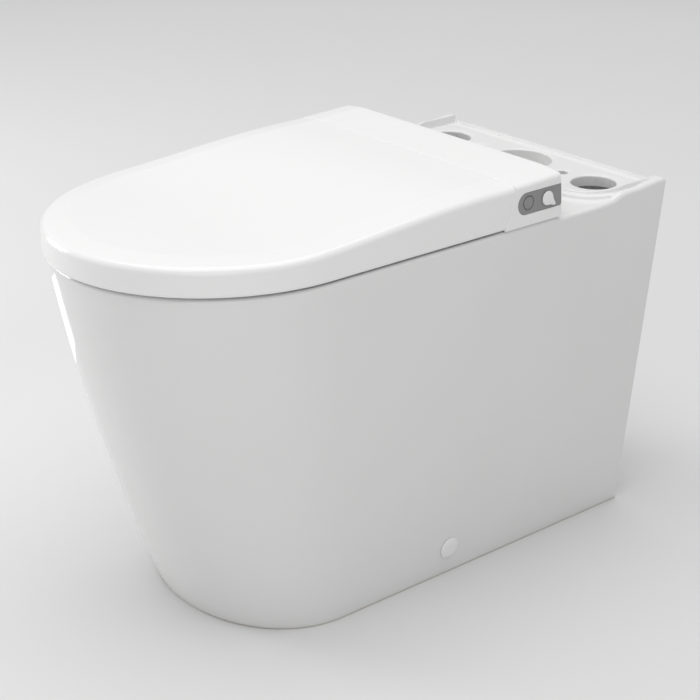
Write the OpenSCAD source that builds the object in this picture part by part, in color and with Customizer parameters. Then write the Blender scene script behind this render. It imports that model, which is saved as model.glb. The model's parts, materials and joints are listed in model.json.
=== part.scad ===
// Floor standing bidet toilet: a back to wall ceramic pan with a low washing seat unit and a flat lid.
// Lengths are in millimetres. X runs across, Y runs from the front to the wall, Z runs up.
// Depths are counted from the wall plane towards the front, and from_wall() moves the whole object
// so that the origin is on the floor in the middle of its length.

/* [Overall] */
// Length from the wall plane to the front of the lid
overall_l = 703; // [680:1:740]
// Width across the lid and the seat unit
overall_w = 362.4; // [356:0.2:380]
// Height of the pan's rim above the floor
rim_z = 426; // [410:1:450]

/* [Pan shell] */
// Width of the pan at the floor
floor_w = 283; // [270:1:300]
// How far the pan's front stands behind the lid's front at the rim
pan_front_inset = 3; // [2:0.5:8]
// How far the pan's foot stands behind the lid's front
foot_inset = 132; // [115:1:145]
// Depth at which the round front begins at the rim
rim_straight = 500; // [490:1:515]
// Depth at which the round front begins at the floor
foot_straight = 452; // [435:1:465]
// Fullness of the round front at the rim
rim_power = 2; // [1.9:0.05:2.3]
// Fullness of the round front at the floor
foot_power = 2.1; // [1.9:0.05:2.4]
// Swell of the front's line between floor and rim
front_swell = 10; // [4:0.5:12]
// Thickness of the pan's side walls
wall_t = 11; // [9:0.5:14]
// Thickness of the rim and deck plates
rim_t = 12; // [10:0.5:14]

/* [Bowl] */
// Width of the bowl's mouth
mouth_w = 256; // [230:1:262]
// Depth of the mouth's front edge
mouth_front = 655; // [640:1:662]
// Depth of the mouth's rear edge
mouth_rear = 326; // [322:1:334]
// Width of the bowl near its bottom
sump_w = 80; // [76:1:100]
// Depth of the sump's front edge
sump_front = 470; // [455:1:490]
// Depth of the sump's rear edge
sump_rear = 372; // [366:1:376]
// Height of the bowl's lowest point inside
sump_z = 44; // [40:1:50]
// Thickness of the bowl's wall
bowl_t = 9; // [8:0.5:11]

/* [Outlet and flush] */
// Radius of the outlet spigot outside
spigot_r = 51; // [50:0.5:55]
// Thickness of the spigot's wall
spigot_t = 9; // [7:0.5:10]
// Length of the spigot
spigot_l = 98; // [80:1:110]
// Depth of the spigot's end from the wall
spigot_end = 14; // [8:1:30]
// Height of the outlet's centre
outlet_z = 185; // [175:1:195]
// Radius of the trap's bore
trap_r = 29; // [25:0.5:30]
// Thickness of the trap's wall
trap_t = 7; // [6:0.5:8]
// Height of the trap's start at the bowl
trap_z = 86; // [84:1:92]
// Bend radius of the trap
trap_bend = 65; // [60:1:70]
// Angle of the trap's rising leg
trap_rise = 55; // [50:1:60]
// Angle of the trap's falling leg
trap_fall = 20; // [15:1:25]
// Radius of the flush pipe's bore
flush_r = 22; // [18:0.5:24]
// Thickness of the flush pipe's wall
flush_t = 6; // [5:0.5:7]
// Height of the flush pipe where it enters the bowl
flush_z = 318; // [310:1:320]
// Bend radius of the flush pipe
flush_bend = 45; // [40:1:48]

/* [Deck] */
// Depth of the deck's front edge
deck_l = 178; // [174:1:180]
// Height of the deck's surface above the rim
deck_rise = 0.8; // [0.4:0.2:2]
// Height of the side lips above the deck
lip_h = 9; // [7:0.5:10]
// Height of the back lip above the deck
back_lip_h = 4; // [3:0.5:6]
// Half width of the lip's outer line
lip_x = 171; // [168:0.5:173]
// Width of the lip's ridge
lip_t = 5; // [4:0.5:7]
// Depth of the lip's front line
lip_front = 113; // [106:1:120]
// Radius of the lip's front corners
lip_corner = 51; // [46:1:58]
// Depth at which the lip begins to fall towards the front
lip_fall_start = 60; // [50:1:75]
// Radius of the flush inlet's hole
inlet_r = 40; // [36:0.5:42]
// Radius of the two service holes
service_r = 26.5; // [24:0.5:28]
// Half distance between the service holes
service_x = 121.7; // [118:0.5:125]
// Radius of the cistern's bolt holes
cistern_bolt_r = 7; // [5.5:0.5:8]
// Half distance between the cistern's bolt holes
cistern_bolt_x = 72; // [68:0.5:78]
// Depth of the row of holes in the deck
holes_y = 58; // [52:0.5:62]

/* [Floor fixings] */
// Depth of the side bolts
bolt_y = 294.4; // [270:0.5:320]
// Height of the side bolts
bolt_z = 34.5; // [30:0.5:40]
// Radius of the bolt caps
cap_r = 13.5; // [12:0.5:15]
// Thickness of the bolt caps' discs
cap_t = 2.4; // [2:0.1:3]
// Radius of the side bolts' shanks
side_bolt_r = 4; // [3:0.5:5]
// Thickness of the floor brackets
bracket_t = 4; // [3:0.5:5]
// Width of the floor brackets
bracket_w = 40; // [34:1:50]

/* [Seat unit] */
// Depth of the unit's rear face at its foot
unit_rear = 174.5; // [172:0.5:177]
// How far the unit's rear face leans forward at the top
unit_lean = 4.5; // [0:0.5:6]
// Height of the unit above the rim at the seam
unit_h = 51.5; // [49:0.5:53]
// Rise of the unit's top from the seam to its rear edge
unit_rise = 2.7; // [1:0.1:4]
// Depth of the seam between lid and unit at the top
seam_y = 251; // [249:0.5:253]
// Depth of the seam between lid and unit at the bottom
seam_foot_y = 262; // [260:0.5:264]
// Thickness of the unit's shells
shell_t = 2.5; // [2:0.1:3]
// Half width of the well in the pan below the unit
well_x = 118; // [114:1:121]
// Depth of the well's front
well_front = 306; // [303:1:308]
// Depth of the well's rear
well_rear = 192; // [188:1:195]
// Height of the well's floor below the rim
well_d = 66; // [62:1:68]
// Thickness of the well's walls
well_t = 8; // [6:0.5:9]
// Half width of the way from the well to the bowl
channel_x = 72; // [68:1:76]
// Space between the tub of the unit and the well's walls
tub_gap = 2; // [1:0.5:3]
// Half distance between the unit's fixing bolts
unit_bolt_x = 148; // [144:1:152]
// Radius of the unit's fixing bolts
unit_bolt_r = 4; // [3:0.5:5]
// Length of the unit's fixing bolts below the rim
unit_bolt_l = 38; // [32:1:48]

/* [Hinge] */
// How far the hinge axis lies in front of the seam
hinge_back = 16; // [15:0.5:17]
// How far the hinge axis lies below the lid's top at the seam
hinge_drop = 8.5; // [8:0.25:9]
// Radius of the hinge pins
pin_r = 2.3; // [2:0.1:2.5]
// Radius of the lugs and ears round the pins
lug_r = 4.6; // [4.4:0.1:4.8]
// Inner end of the hinge pins
pin_x = 100; // [96:1:103]
// Length of each hinge pin
pin_l = 66; // [64:1:68]
// Width of each ear and lug on the pins
ear_w = 13; // [11:0.5:14]

/* [Lid] */
// Height of the lid's lower edge above the rim
lid_gap = 3.4; // [3:0.1:5]
// Height of the lid's top above the rim at the front
lid_front_h = 36; // [33:0.2:40]
// Height of the lid's top above the rim where its rise ends
lid_crown_h = 51.2; // [51:0.2:53]
// Depth at which the lid's top starts to rise
lid_rise_start = 577; // [565:1:590]
// Depth at which the lid's rise ends
lid_crown_y = 280; // [275:1:290]
// Depth at which the lid's round front begins
lid_straight = 506; // [495:1:515]
// Fullness of the lid's round front
lid_power = 1.98; // [1.92:0.01:2.1]
// Thickness of the lid's skin
lid_t = 3; // [2.6:0.1:3.4]

/* [Seat] */
// Space between the seat and the lid's side walls
seat_side_gap = 4; // [3:0.5:6]
// Height of the seat's underside above the rim
seat_lift = 5; // [4.5:0.5:6]
// Thickness of the seat ring
seat_h = 20; // [18:0.5:21]
// Depth of the seat's rear edge
seat_rear = 288; // [286:1:292]
// Width of the seat's opening
seat_hole_w = 216; // [200:1:224]
// Depth of the opening's front
seat_hole_front = 628; // [615:1:632]
// Depth of the opening's rear
seat_hole_rear = 338; // [334:1:345]
// Thickness of the seat's shells
seat_t = 3; // [2.5:0.1:3.5]

/* [Side controls] */
// Height of the control panel's centre above the rim
panel_up = 26.2; // [25:0.2:27]
// Height of the control panel
panel_h = 25; // [22:0.5:26]
// Depth of the control panel's round end
panel_front = 244.5; // [243:0.5:246]
// Depth of the push button's centre
button_y = 227.7; // [226:0.1:229]
// Radius of the push button
button_r = 7; // [6:0.1:8]
// Travel of the push button
button_travel = 1.2; // [0.8:0.1:1.4]
// Depth of the flow knob's axis
knob_y = 199.5; // [198:0.5:201]
// Radius of the flow knob's round end
knob_r = 8; // [7:0.1:9]
// Distance from the flow knob's axis to its tip
knob_tip = 15.1; // [14:0.1:17]
// Height of the flow knob above the panel
knob_h = 2; // [1.6:0.2:3]

/* [Washing arm] */
// Slope of the washing arm
arm_slope = 28; // [27:0.5:29]
// Depth of the arm's tip when it is in
arm_tip_y = 300; // [299:0.5:301]
// Height of the arm's tip below the rim
arm_tip_d = 36; // [35:0.5:37]
// Radius of the washing arm
arm_r = 7; // [6:0.1:7.4]
// Travel of the washing arm
arm_travel = 100; // [92:1:104]
// Pitch radius of the drive pinion
pinion_r = 6; // [5.6:0.1:6.4]
// Teeth on the drive pinion
pinion_teeth = 12; // [10:1:14]

/* [Dryer] */
// Radius of the fan's housing
fan_r = 26; // [24:0.5:27]
// Height of the fan's housing
fan_h = 22; // [20:0.5:24]
// Offset of the fan's axis from the middle
fan_x = 76; // [75:0.5:78]
// Blades on the fan's rotor
fan_blades = 16; // [8:1:24]

/* [Fits] */
// Gap between a moving shell and its neighbour
run_gap = 0.4; // [0.3:0.05:0.6]
// Radial clearance of a pin in a moving lug
pin_fit = 0.06; // [0.02:0.01:0.09]
// Radial clearance of a fixed part in its hole
hole_fit = 0.3; // [0.2:0.05:0.5]

/* [Hidden] */
$fn = 64;
half_w = overall_w / 2;
// The sizes above are drawn for this length and width. What follows the front moves by reach,
// and what follows the sides moves by spread.
reach = overall_l - 703;
spread = half_w - 362.4 / 2;
lip_edge = lip_x + spread;
pins_x = pin_x + spread;
bolts_x = unit_bolt_x + spread / 2;
hole_front = seat_hole_front + reach;
lid_turn = lid_straight + reach;
lid_rise = lid_rise_start + reach;
pan_half = half_w - 0.7;
foot_half = floor_w / 2;
skirt_top = rim_z - rim_t;
deck_z = rim_z + deck_rise;
deck_step = 2.5;
draft = atan((pan_half - foot_half) / rim_z);
levels = 10;
curve_steps = 14;

hinge_y = -seam_y - hinge_back;
seam_z = rim_z + unit_h;
hinge_z = seam_z - hinge_drop;
tail_r = norm([hinge_back, hinge_drop]);
unit_foot_z = rim_z + 0.6;
shelf_front = hinge_y - 9;
shelf_z = hinge_z - tail_r - run_gap - 0.3;
block_rear = hinge_y + 12.5;
lid_z = rim_z + lid_gap;
seat_z = rim_z + seat_lift;
well_z = rim_z - well_d;
tub_x = well_x - tub_gap;
pad_h = 2;
tub_z = well_z + pad_h;

plate_t = 3;
block_top = hinge_z - 12;
unit_bolt_y = (seam_y + deck_l) / 2;
tub_front = -well_front + tub_gap;
tub_rear = -well_rear - tub_gap;
tub_floor = tub_z + shell_t;
bolt_washer_r = 10;
seat_lug_x = pins_x + ear_w + 3;
ear_2x = seat_lug_x + ear_w + 3;
lid_lug_x = ear_2x + ear_w + 3;
damper_l = 38;
lid_pads = [[half_w - 31, overall_l - 188], [half_w - 85, overall_l - 63]];
seat_pads = [[half_w - 31, 400], [half_w - 73, overall_l - 81]];
port_z = rim_z + 26;
water_x = -half_w + 41;
water_r = 10.2;
water_l = 16;
power_x = half_w - 31;
power_r = 7;
cord_r = 3.5;
board_z = rim_z + 10;
board_posts_x = [tub_x + 6, half_w - 15];
board_posts_y = [-238, -194];
cup_l = 11;
knob_shaft_r = 3.5;
arm_wall = 2.5;
arm_l = arm_travel + 22;
rack_z = arm_r - 1;
rack_h = 4;
tooth_h = 1.8;
rack_start = 12;
rack_pitch = 2 * PI * pinion_r / pinion_teeth;
pinion_y = rack_start + 2.5 * rack_pitch;
pinion_z = rack_z + rack_h - tooth_h / 2 + pinion_r;
motor_r = 10.5;
motor_x = 11;
motor_y = -arm_tip_y + pinion_y * cos(arm_slope) - pinion_z * sin(arm_slope);
trap_drop_l = 20;
motor_z = rim_z - arm_tip_d + pinion_y * sin(arm_slope) + pinion_z * cos(arm_slope);
tank_x = 40;
tank_w = tub_x - 48;
tank_l = 92;
tank_h = 50;
tank_t = 2.5;
tank_y = tub_front + shell_t + 3;
fan_y = tub_rear - shell_t - fan_r - 2;
duct_w = 20;
duct_h = 20;
duct_in = fan_r - duct_w;
bolt_head_r = cap_r - 4.2;
bolt_recess_d = 6;
bracket_reach = 44;
bracket_screw_x = pan_x(0) - wall_t - 30;
floor_screw_r = 3;
sump_bottom = sump_z - bowl_t;
bowl_top_k = (skirt_top - sump_z) / (rim_z - sump_z);

function power(v, n) = sign(v) * pow(abs(v), 2 / n);

// Half superellipse from [half, -start] round the front at -front to [-half, -start]
function nose(half, n, start, front) = [
    for (i = [0:2 * curve_steps])
        let (a = 90 * i / curve_steps)
        [half * power(cos(a), n), -start - (front - start) * power(sin(a), n)]];

// Closed oval with its widest line at -middle
function oval(half, n, front, middle, rear, steps) = [
    for (i = [0:steps - 1])
        let (a = 360 * i / steps, reach = a < 180 ? front - middle : middle - rear)
        [half * power(cos(a), n), -middle - reach * power(sin(a), n)]];

function at_z(points, z) = [for (p = points) [p[0], p[1], z]];
function flip(points) = [for (i = [len(points) - 1:-1:0]) points[i]];
function blend(a, b, k) = a + (b - a) * k;

// Pan outline at a height, drawn in by an amount
function pan_x(z) = blend(foot_half, pan_half, z / rim_z);
function pan_front(z) = let (k = z / rim_z)
    blend(overall_l - foot_inset, overall_l - pan_front_inset, k) + 4 * front_swell * k * (1 - k);
function pan_nose(z, inset) = let (k = z / rim_z)
    nose(pan_x(z) - inset, blend(foot_power, rim_power, k),
        blend(foot_straight, rim_straight, k) + reach, pan_front(z) - inset);
function pan_face(z, inset) = concat([[pan_x(z) - inset, 0]], pan_nose(z, inset),
    [[-pan_x(z) + inset, 0]]);

// Bowl outline at a share k of its height, drawn out by an amount
bowl_steps = 40;
bowl_power = 2.25;
bowl_middle = 470;
function bowl_z(k) = blend(sump_z, rim_z, k);
function bowl_ring(k, out) = oval(
    blend(sump_w / 2, mouth_w / 2, pow(k, 0.62)) + out, bowl_power,
    blend(sump_front, mouth_front + reach, pow(k, 0.6)) + out,
    blend((sump_front + sump_rear) / 2, bowl_middle, pow(k, 0.8)),
    blend(sump_rear, mouth_rear, pow(k, 0.8)) - out, bowl_steps);

// Height of the lid's top at a depth
function lid_top(y) = rim_z + (y > lid_rise ? lid_front_h
    : y > lid_crown_y
        ? blend(lid_front_h, lid_crown_h,
            (1 - cos(180 * (lid_rise - y) / (lid_rise - lid_crown_y))) / 2)
        : blend(lid_crown_h, unit_h, pow((lid_crown_y - y) / (lid_crown_y - seam_y), 2)));

module from_wall() {
    translate([0, overall_l / 2, 0]) children();
}

// Solid through a list of rings that all have the same even number of points.
// The ends are closed with strips between a ring's two halves. With hoop set, the last ring
// meets the first one and there are no ends.
module loft(rings, hoop = false) {
    n = len(rings[0]);
    m = len(rings);
    last = (m - 1) * n;
    sides = [for (j = [0:hoop ? m - 1 : m - 2], i = [0:n - 1])
        let (a = j * n + i, b = j * n + (i + 1) % n, c = (a + n) % (m * n), d = (b + n) % (m * n))
        each [[a, c, b], [b, c, d]]];
    ends = hoop ? [] : [for (i = [0:n / 2 - 2]) let (far = n - 1 - i)
        each [[i, i + 1, far - 1], [i, far - 1, far],
            [last + i, last + far - 1, last + i + 1], [last + i, last + far, last + far - 1]]];
    polyhedron(
        points = [for (ring = rings) each ring],
        faces = [for (face = concat(sides, ends)) if (len(search(face[0], face)) == 1
            && face[1] != face[2]) face],
        convexity = 8);
}

// Prism across the object from a side profile of [depth, height] points
module across(half) {
    translate([-half, 0, 0]) rotate([90, 0, 90]) linear_extrude(2 * half) children();
}

// Prism between two X positions from a side profile
module between(x0, x1) {
    translate([x0, 0, 0]) rotate([90, 0, 90]) linear_extrude(x1 - x0) children();
}

module both_sides() {
    children();
    mirror([1, 0, 0]) children();
}

module rod_x(x0, x1, r) {
    translate([x0, 0, 0]) rotate([0, 90, 0]) cylinder(r = r, h = x1 - x0);
}

module rod_y(y0, y1, r) {
    translate([0, y1, 0]) rotate([90, 0, 0]) cylinder(r = r, h = y1 - y0);
}

// Places things on the pan's side wall at the side bolt, with Z pointing out of the wall
module at_side_bolt() {
    translate([pan_x(bolt_z), -bolt_y, bolt_z]) rotate([0, 90 + draft, 0]) children();
}

// Places things in the washing arm's frame, with Y running back and up along the arm
module at_arm() {
    translate([0, -arm_tip_y, rim_z - arm_tip_d]) rotate([arm_slope, 0, 0]) children();
}

module pan_skirt() {
    color("white") from_wall() difference() {
        loft([for (i = [0:levels]) let (z = skirt_top * i / levels)
            at_z(concat(pan_face(z, 0), flip(pan_face(z, wall_t))), z)]);
        both_sides() at_side_bolt() {
            translate([0, 0, -2 * wall_t]) cylinder(r = side_bolt_r + 2.5, h = 3 * wall_t);
            translate([0, 0, -bolt_recess_d]) cylinder(r = bolt_head_r + 0.7, h = 10);
        }
    }
}

// Flat outline of the pan's top plates
module pan_plan(z, rear, front) {
    intersection() {
        polygon(pan_face(z, 0));
        translate([-overall_w, -front]) square([2 * overall_w, front - rear]);
    }
}

module pan_rim() {
    color("white") from_wall() difference() {
        translate([0, 0, skirt_top]) linear_extrude(rim_t)
            pan_plan(rim_z - rim_t / 2, deck_l, overall_l);
        translate([0, 0, skirt_top - 1]) linear_extrude(rim_t + 2) {
            polygon(bowl_ring(1, 0));
            translate([-channel_x, -mouth_rear - 30])
                square([2 * channel_x, mouth_rear + 30 - well_rear]);
            translate([-well_x, -well_front]) square([2 * well_x, well_front - well_rear]);
        }
        for (side = [-1, 1]) translate([side * bolts_x, -unit_bolt_y, skirt_top - 1])
            cylinder(r = unit_bolt_r + 2, h = rim_t + 2);
    }
}

module pan_bowl() {
    color("white") from_wall() difference() {
        loft(concat(
            [at_z(bowl_ring(0, 1), sump_bottom)],
            [for (i = [0:levels]) let (k = bowl_top_k * i / levels)
                at_z(bowl_ring(k, bowl_t), bowl_z(k))],
            [for (i = [levels:-1:0]) let (k = bowl_top_k * i / levels)
                at_z(bowl_ring(k, 0), bowl_z(k))],
            [at_z(bowl_ring(0, -14), sump_z - 1)]));
        translate([0, 0, trap_z]) {
            rod_y(-sump_rear - 6, -sump_rear + 60, trap_r + trap_t + hole_fit);
            rod_y(-sump_rear - 60, -sump_rear + 60, trap_r);
        }
        translate([0, 0, flush_z]) rod_y(-mouth_rear - 60, -mouth_rear + 40,
            flush_r + flush_t + hole_fit);
        translate([-channel_x, -mouth_rear - 60, well_z + 2])
            cube([2 * channel_x, 90, well_d]);
    }
}

// Outer line of the deck's lip: straight sides and round front corners
module lip_plan(inset) {
    r = lip_corner - inset;
    for (side = [-1, 1]) translate([side * (lip_edge - lip_corner), -lip_front + lip_corner])
        circle(r = r);
    translate([-lip_edge + lip_corner, -lip_front + inset])
        square([2 * (lip_edge - lip_corner), lip_front - inset - back_inset(inset)]);
    translate([-lip_edge + inset, -lip_front + lip_corner])
        square([2 * (lip_edge - inset), lip_front - lip_corner - back_inset(inset)]);
}

function back_inset(inset) = inset > 0 ? inset + 2 : 0;

// Broad shoulder between the lip and the pan's side, which rises towards the rear corner
module deck_shoulder() {
    near = lip_edge - lip_t - 2;
    far = pan_half + 2;
    edge_w = 5;
    high = deck_z + lip_h - skirt_top;
    hull() {
        translate([near, -lip_fall_start, skirt_top]) cube([far - near, lip_fall_start, 1]);
        translate([lip_edge - 1, -lip_fall_start, skirt_top]) cube([1, lip_fall_start, high]);
        translate([far - edge_w, -6, skirt_top]) cube([edge_w, 6, high - 1.4]);
        translate([far - edge_w, -lip_fall_start, skirt_top])
            cube([edge_w, 1, deck_z - skirt_top]);
    }
}

// Deck plate, a step higher inside the lip's line, with the lip on it and the shoulders outside.
// The lip is lower along the back and falls towards the front.
module pan_deck() {
    top = deck_z + lip_h;
    color("white") from_wall() difference() {
        intersection() {
            union() {
                translate([0, 0, skirt_top]) linear_extrude(rim_t - deck_step)
                    pan_plan(rim_z, 0, deck_l);
                translate([0, 0, skirt_top]) linear_extrude(deck_z - skirt_top)
                    lip_plan(0);
                difference() {
                    translate([0, 0, skirt_top]) linear_extrude(top - skirt_top) lip_plan(0);
                    translate([0, 0, deck_z]) linear_extrude(top) lip_plan(lip_t);
                    translate([-overall_w, -lip_fall_start, deck_z + lip_h]) rotate([-6, 0, 0])
                        translate([0, -deck_l, 0]) cube([2 * overall_w, deck_l, 2 * lip_h]);
                    translate([-lip_edge + lip_t, -2 * lip_t - 2, deck_z + back_lip_h])
                        cube([2 * (lip_edge - lip_t), 3 * lip_t, 2 * lip_h]);
                }
                both_sides() deck_shoulder();
            }
            deck_envelope();
        }
        translate([0, -holes_y, skirt_top - 1]) {
            cylinder(r = inlet_r, h = 2 * rim_t);
            for (side = [-1, 1]) {
                translate([side * service_x, 0, 0]) cylinder(r = service_r, h = 2 * rim_t);
                translate([side * cistern_bolt_x, 0, 0])
                    cylinder(r = cistern_bolt_r, h = 2 * rim_t);
            }
        }
    }
}

// Space inside the pan's two leaning side planes, behind the deck's front edge
module deck_envelope() {
    low = skirt_top;
    high = deck_z + lip_h + 2;
    rotate([90, 0, 0]) linear_extrude(deck_l)
        polygon([[-pan_x(low), low], [pan_x(low), low], [pan_x(high), high], [-pan_x(high), high]]);
}

module unit_well() {
    outer = well_x + well_t;
    depth = well_front - well_rear + 2 * well_t;
    color("white") from_wall() difference() {
        translate([-outer, -well_front - well_t, well_z - well_t])
            cube([2 * outer, depth, skirt_top - well_z + well_t]);
        translate([-well_x, -well_front, well_z])
            cube([2 * well_x, well_front - well_rear, well_d]);
        translate([-channel_x, -well_front - 2 * well_t, well_z + 2])
            cube([2 * channel_x, 3 * well_t, well_d]);
    }
}

// Quarter bend of a pipe in the middle plane, from the origin towards the wall and up
module elbow(radius, inner, outer) {
    translate([0, 0, radius]) rotate([0, 90, 0]) rotate_extrude(angle = 90)
        translate([radius, 0]) difference() {
            circle(r = outer);
            circle(r = inner);
        }
}

module pipe(length, inner, outer) {
    rotate([-90, 0, 0]) difference() {
        cylinder(r = outer, h = length);
        translate([0, 0, -1]) cylinder(r = inner, h = length + 2);
    }
}

// Points [y, z, heading] of a bend in the middle plane that starts at p
function turn(p, a0, a1, steps) = let (s = sign(a1 - a0))
    [for (i = [0:steps]) let (a = blend(a0, a1, i / steps))
        [p[0] + s * trap_bend * (sin(a) - sin(a0)), p[1] - s * trap_bend * (cos(a) - cos(a0)), a]];
function along(p, a, l) = [p[0] + l * cos(a), p[1] + l * sin(a)];
function end(list) = list[len(list) - 1];
function section(p, r, sides) = [for (i = [0:sides - 1]) let (t = 360 * i / sides)
    [r * cos(t), p[0] - r * sin(t) * sin(p[2]), p[1] + r * sin(t) * cos(p[2])]];

trap_leg = (outlet_z - trap_z - 2 * trap_bend * (cos(trap_fall) - cos(trap_rise))
    + trap_drop_l * sin(trap_fall)) / sin(trap_rise);
trap_up = turn([-sump_rear + 20, trap_z], 0, trap_rise, 8);
trap_over = turn(along(end(trap_up), trap_rise, trap_leg), trap_rise, -trap_fall, 10);
trap_down = turn(along(end(trap_over), -trap_fall, trap_drop_l), -trap_fall, 0, 4);
trap_path = concat([[-sump_rear - 5, trap_z, 0]], trap_up, trap_over, trap_down,
    [[-spigot_end - spigot_l, outlet_z, 0]]);

module trapway() {
    sides = 28;
    color("white") from_wall() loft(concat(
        [for (p = trap_path) section(p, trap_r + trap_t, sides)],
        [for (i = [len(trap_path) - 1:-1:0]) section(trap_path[i], trap_r, sides)]), hoop = true);
}

module outlet_spigot() {
    color("white") from_wall() translate([0, -spigot_end - spigot_l, outlet_z]) difference() {
        rod_y(0, spigot_l, spigot_r);
        rod_y(8, spigot_l + 1, spigot_r - spigot_t);
        rod_y(-1, 9, trap_r);
    }
}

module flush_channel() {
    outer = flush_r + flush_t;
    funnel_h = 36;
    color("white") from_wall() {
        translate([0, -holes_y, skirt_top - funnel_h]) difference() {
            cylinder(r1 = outer, r2 = inlet_r + flush_t, h = funnel_h);
            translate([0, 0, -0.01]) cylinder(r1 = flush_r, r2 = inlet_r, h = funnel_h + 0.02);
        }
        translate([0, -holes_y, flush_z + flush_bend]) difference() {
            cylinder(r = outer, h = skirt_top - funnel_h - flush_z - flush_bend);
            translate([0, 0, -1]) cylinder(r = flush_r, h = skirt_top);
        }
        translate([0, -holes_y - flush_bend, flush_z])
            elbow(flush_bend, flush_r, outer);
        translate([0, -mouth_rear - 2, flush_z])
            pipe(mouth_rear + 2 - holes_y - flush_bend, flush_r, outer);
    }
}

module side_bolts() {
    length = wall_t + bracket_t + 3.2;
    color("silver") from_wall() both_sides() at_side_bolt() {
        translate([0, 0, -bolt_recess_d]) cylinder(r = bolt_head_r, h = 3.4);
        translate([0, 0, -bolt_recess_d + 0.2 - length]) cylinder(r = side_bolt_r, h = length);
    }
}

module bolt_caps() {
    color("white") from_wall() both_sides() at_side_bolt() {
        translate([0, 0, 0.2]) cylinder(r = cap_r, h = cap_t * 0.6);
        translate([0, 0, 0.2 + cap_t * 0.6]) cylinder(r1 = cap_r, r2 = cap_r - 2, h = cap_t * 0.4);
        translate([0, 0, -bolt_recess_d + 3.4]) cylinder(r = bolt_head_r, h = 3);
    }
}

module floor_brackets() {
    color("silver") from_wall() both_sides() difference() {
        union() {
            at_side_bolt() translate([-bracket_w / 2 + 4, -bracket_w / 2, -wall_t - bracket_t])
                cube([bolt_z + bracket_w / 2, bracket_w, bracket_t]);
            translate([pan_x(0) - wall_t - bracket_reach, -bolt_y - bracket_w / 2, 0])
                cube([bracket_reach - 2, bracket_w, bracket_t]);
        }
        translate([0, -bolt_y - bracket_w, -bracket_w])
            cube([2 * half_w, 2 * bracket_w, bracket_w]);
        at_side_bolt() translate([0, 0, -2 * wall_t])
            cylinder(r = side_bolt_r + hole_fit, h = wall_t + bracket_t);
        translate([bracket_screw_x, -bolt_y, -1])
            cylinder(r = floor_screw_r + hole_fit, h = 2 * bracket_t);
    }
}

module bracket_nuts() {
    color("silver") from_wall() both_sides() at_side_bolt()
        translate([0, 0, -wall_t - bracket_t - 6]) difference() {
            cylinder(r = 7.5, h = 6, $fn = 6);
            translate([0, 0, -1]) cylinder(r = side_bolt_r + pin_fit, h = 8);
        }
}

module floor_screws() {
    color("silver") from_wall() both_sides() translate([bracket_screw_x, -bolt_y, 0]) {
        translate([0, 0, 0.2]) cylinder(r = floor_screw_r, h = bracket_t);
        translate([0, 0, bracket_t]) cylinder(r1 = 6.5, r2 = 4, h = 3);
    }
}

// Side view of everything in front of the seam: the circle that the lid's tail sweeps
// round the hinge axis, and the plane that touches this circle from the seam's foot
module seam_side(extra) {
    axis = [hinge_y, hinge_z];
    foot = [-seam_foot_y, unit_foot_z];
    touch = atan2(foot[1] - axis[1], foot[0] - axis[0]) + acos(tail_r / norm(foot - axis));
    out = [cos(touch), sin(touch)];
    down = foot - axis - tail_r * out;
    polygon(concat(
        [[hinge_y - overall_l, 0], axis + (tail_r + extra) * out + 3 * down],
        [for (a = [touch:(90 - touch) / 24:90.01]) axis + (tail_r + extra) * [cos(a), sin(a)]],
        [[hinge_y, 2 * rim_z], [hinge_y - overall_l, 2 * rim_z]]));
}

// Side profile of the seat unit's casing behind the seam
module unit_profile(inset) {
    low = inset > 0 ? unit_foot_z - 5 : unit_foot_z;
    difference() {
        polygon([
            [-unit_rear - inset, low],
            [-unit_rear - unit_lean - inset, seam_z + unit_rise - inset],
            [-seam_y, seam_z - inset],
            [hinge_y, seam_z - inset],
            [hinge_y, low]]);
        seam_side(run_gap + inset);
    }
}

// Opening for the side panel in the unit's side wall
module panel_shape(extra) {
    translate([-panel_front + panel_h / 2, rim_z + panel_up]) {
        circle(r = panel_h / 2 + extra);
        translate([0, -panel_h / 2 - extra])
            square([panel_front - panel_h / 2 - unit_rear + 5, panel_h + 2 * extra]);
    }
}

module unit_cover() {
    color("white") from_wall() difference() {
        across(half_w) unit_profile(0);
        across(half_w - shell_t) unit_profile(shell_t);
        across(half_w - shell_t) polygon([
            [shelf_front - 10, unit_foot_z - 5],
            [shelf_front - 10, block_top + run_gap],
            [block_rear + 0.2, block_top + run_gap],
            [block_rear + 8, unit_foot_z - 5]]);
        between(half_w - shell_t - 2.4, half_w + 1) panel_shape(0.2);
        translate([water_x, 0, port_z]) rod_y(-unit_rear - 20, -unit_rear + 5, water_r + hole_fit);
        translate([power_x, 0, port_z]) rod_y(-unit_rear - 20, -unit_rear + 5, power_r + hole_fit);
    }
}

// Side profile of the unit's front block, hollowed for the lid's tail
module block_profile() {
    difference() {
        polygon([
            [shelf_front, unit_foot_z], [shelf_front, shelf_z - 3], [shelf_front + 3, shelf_z],
            [hinge_y, shelf_z],
            [block_rear, block_top], [block_rear, unit_foot_z]]);
        translate([hinge_y, hinge_z]) circle(r = tail_r + run_gap + 0.3);
    }
}

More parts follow.
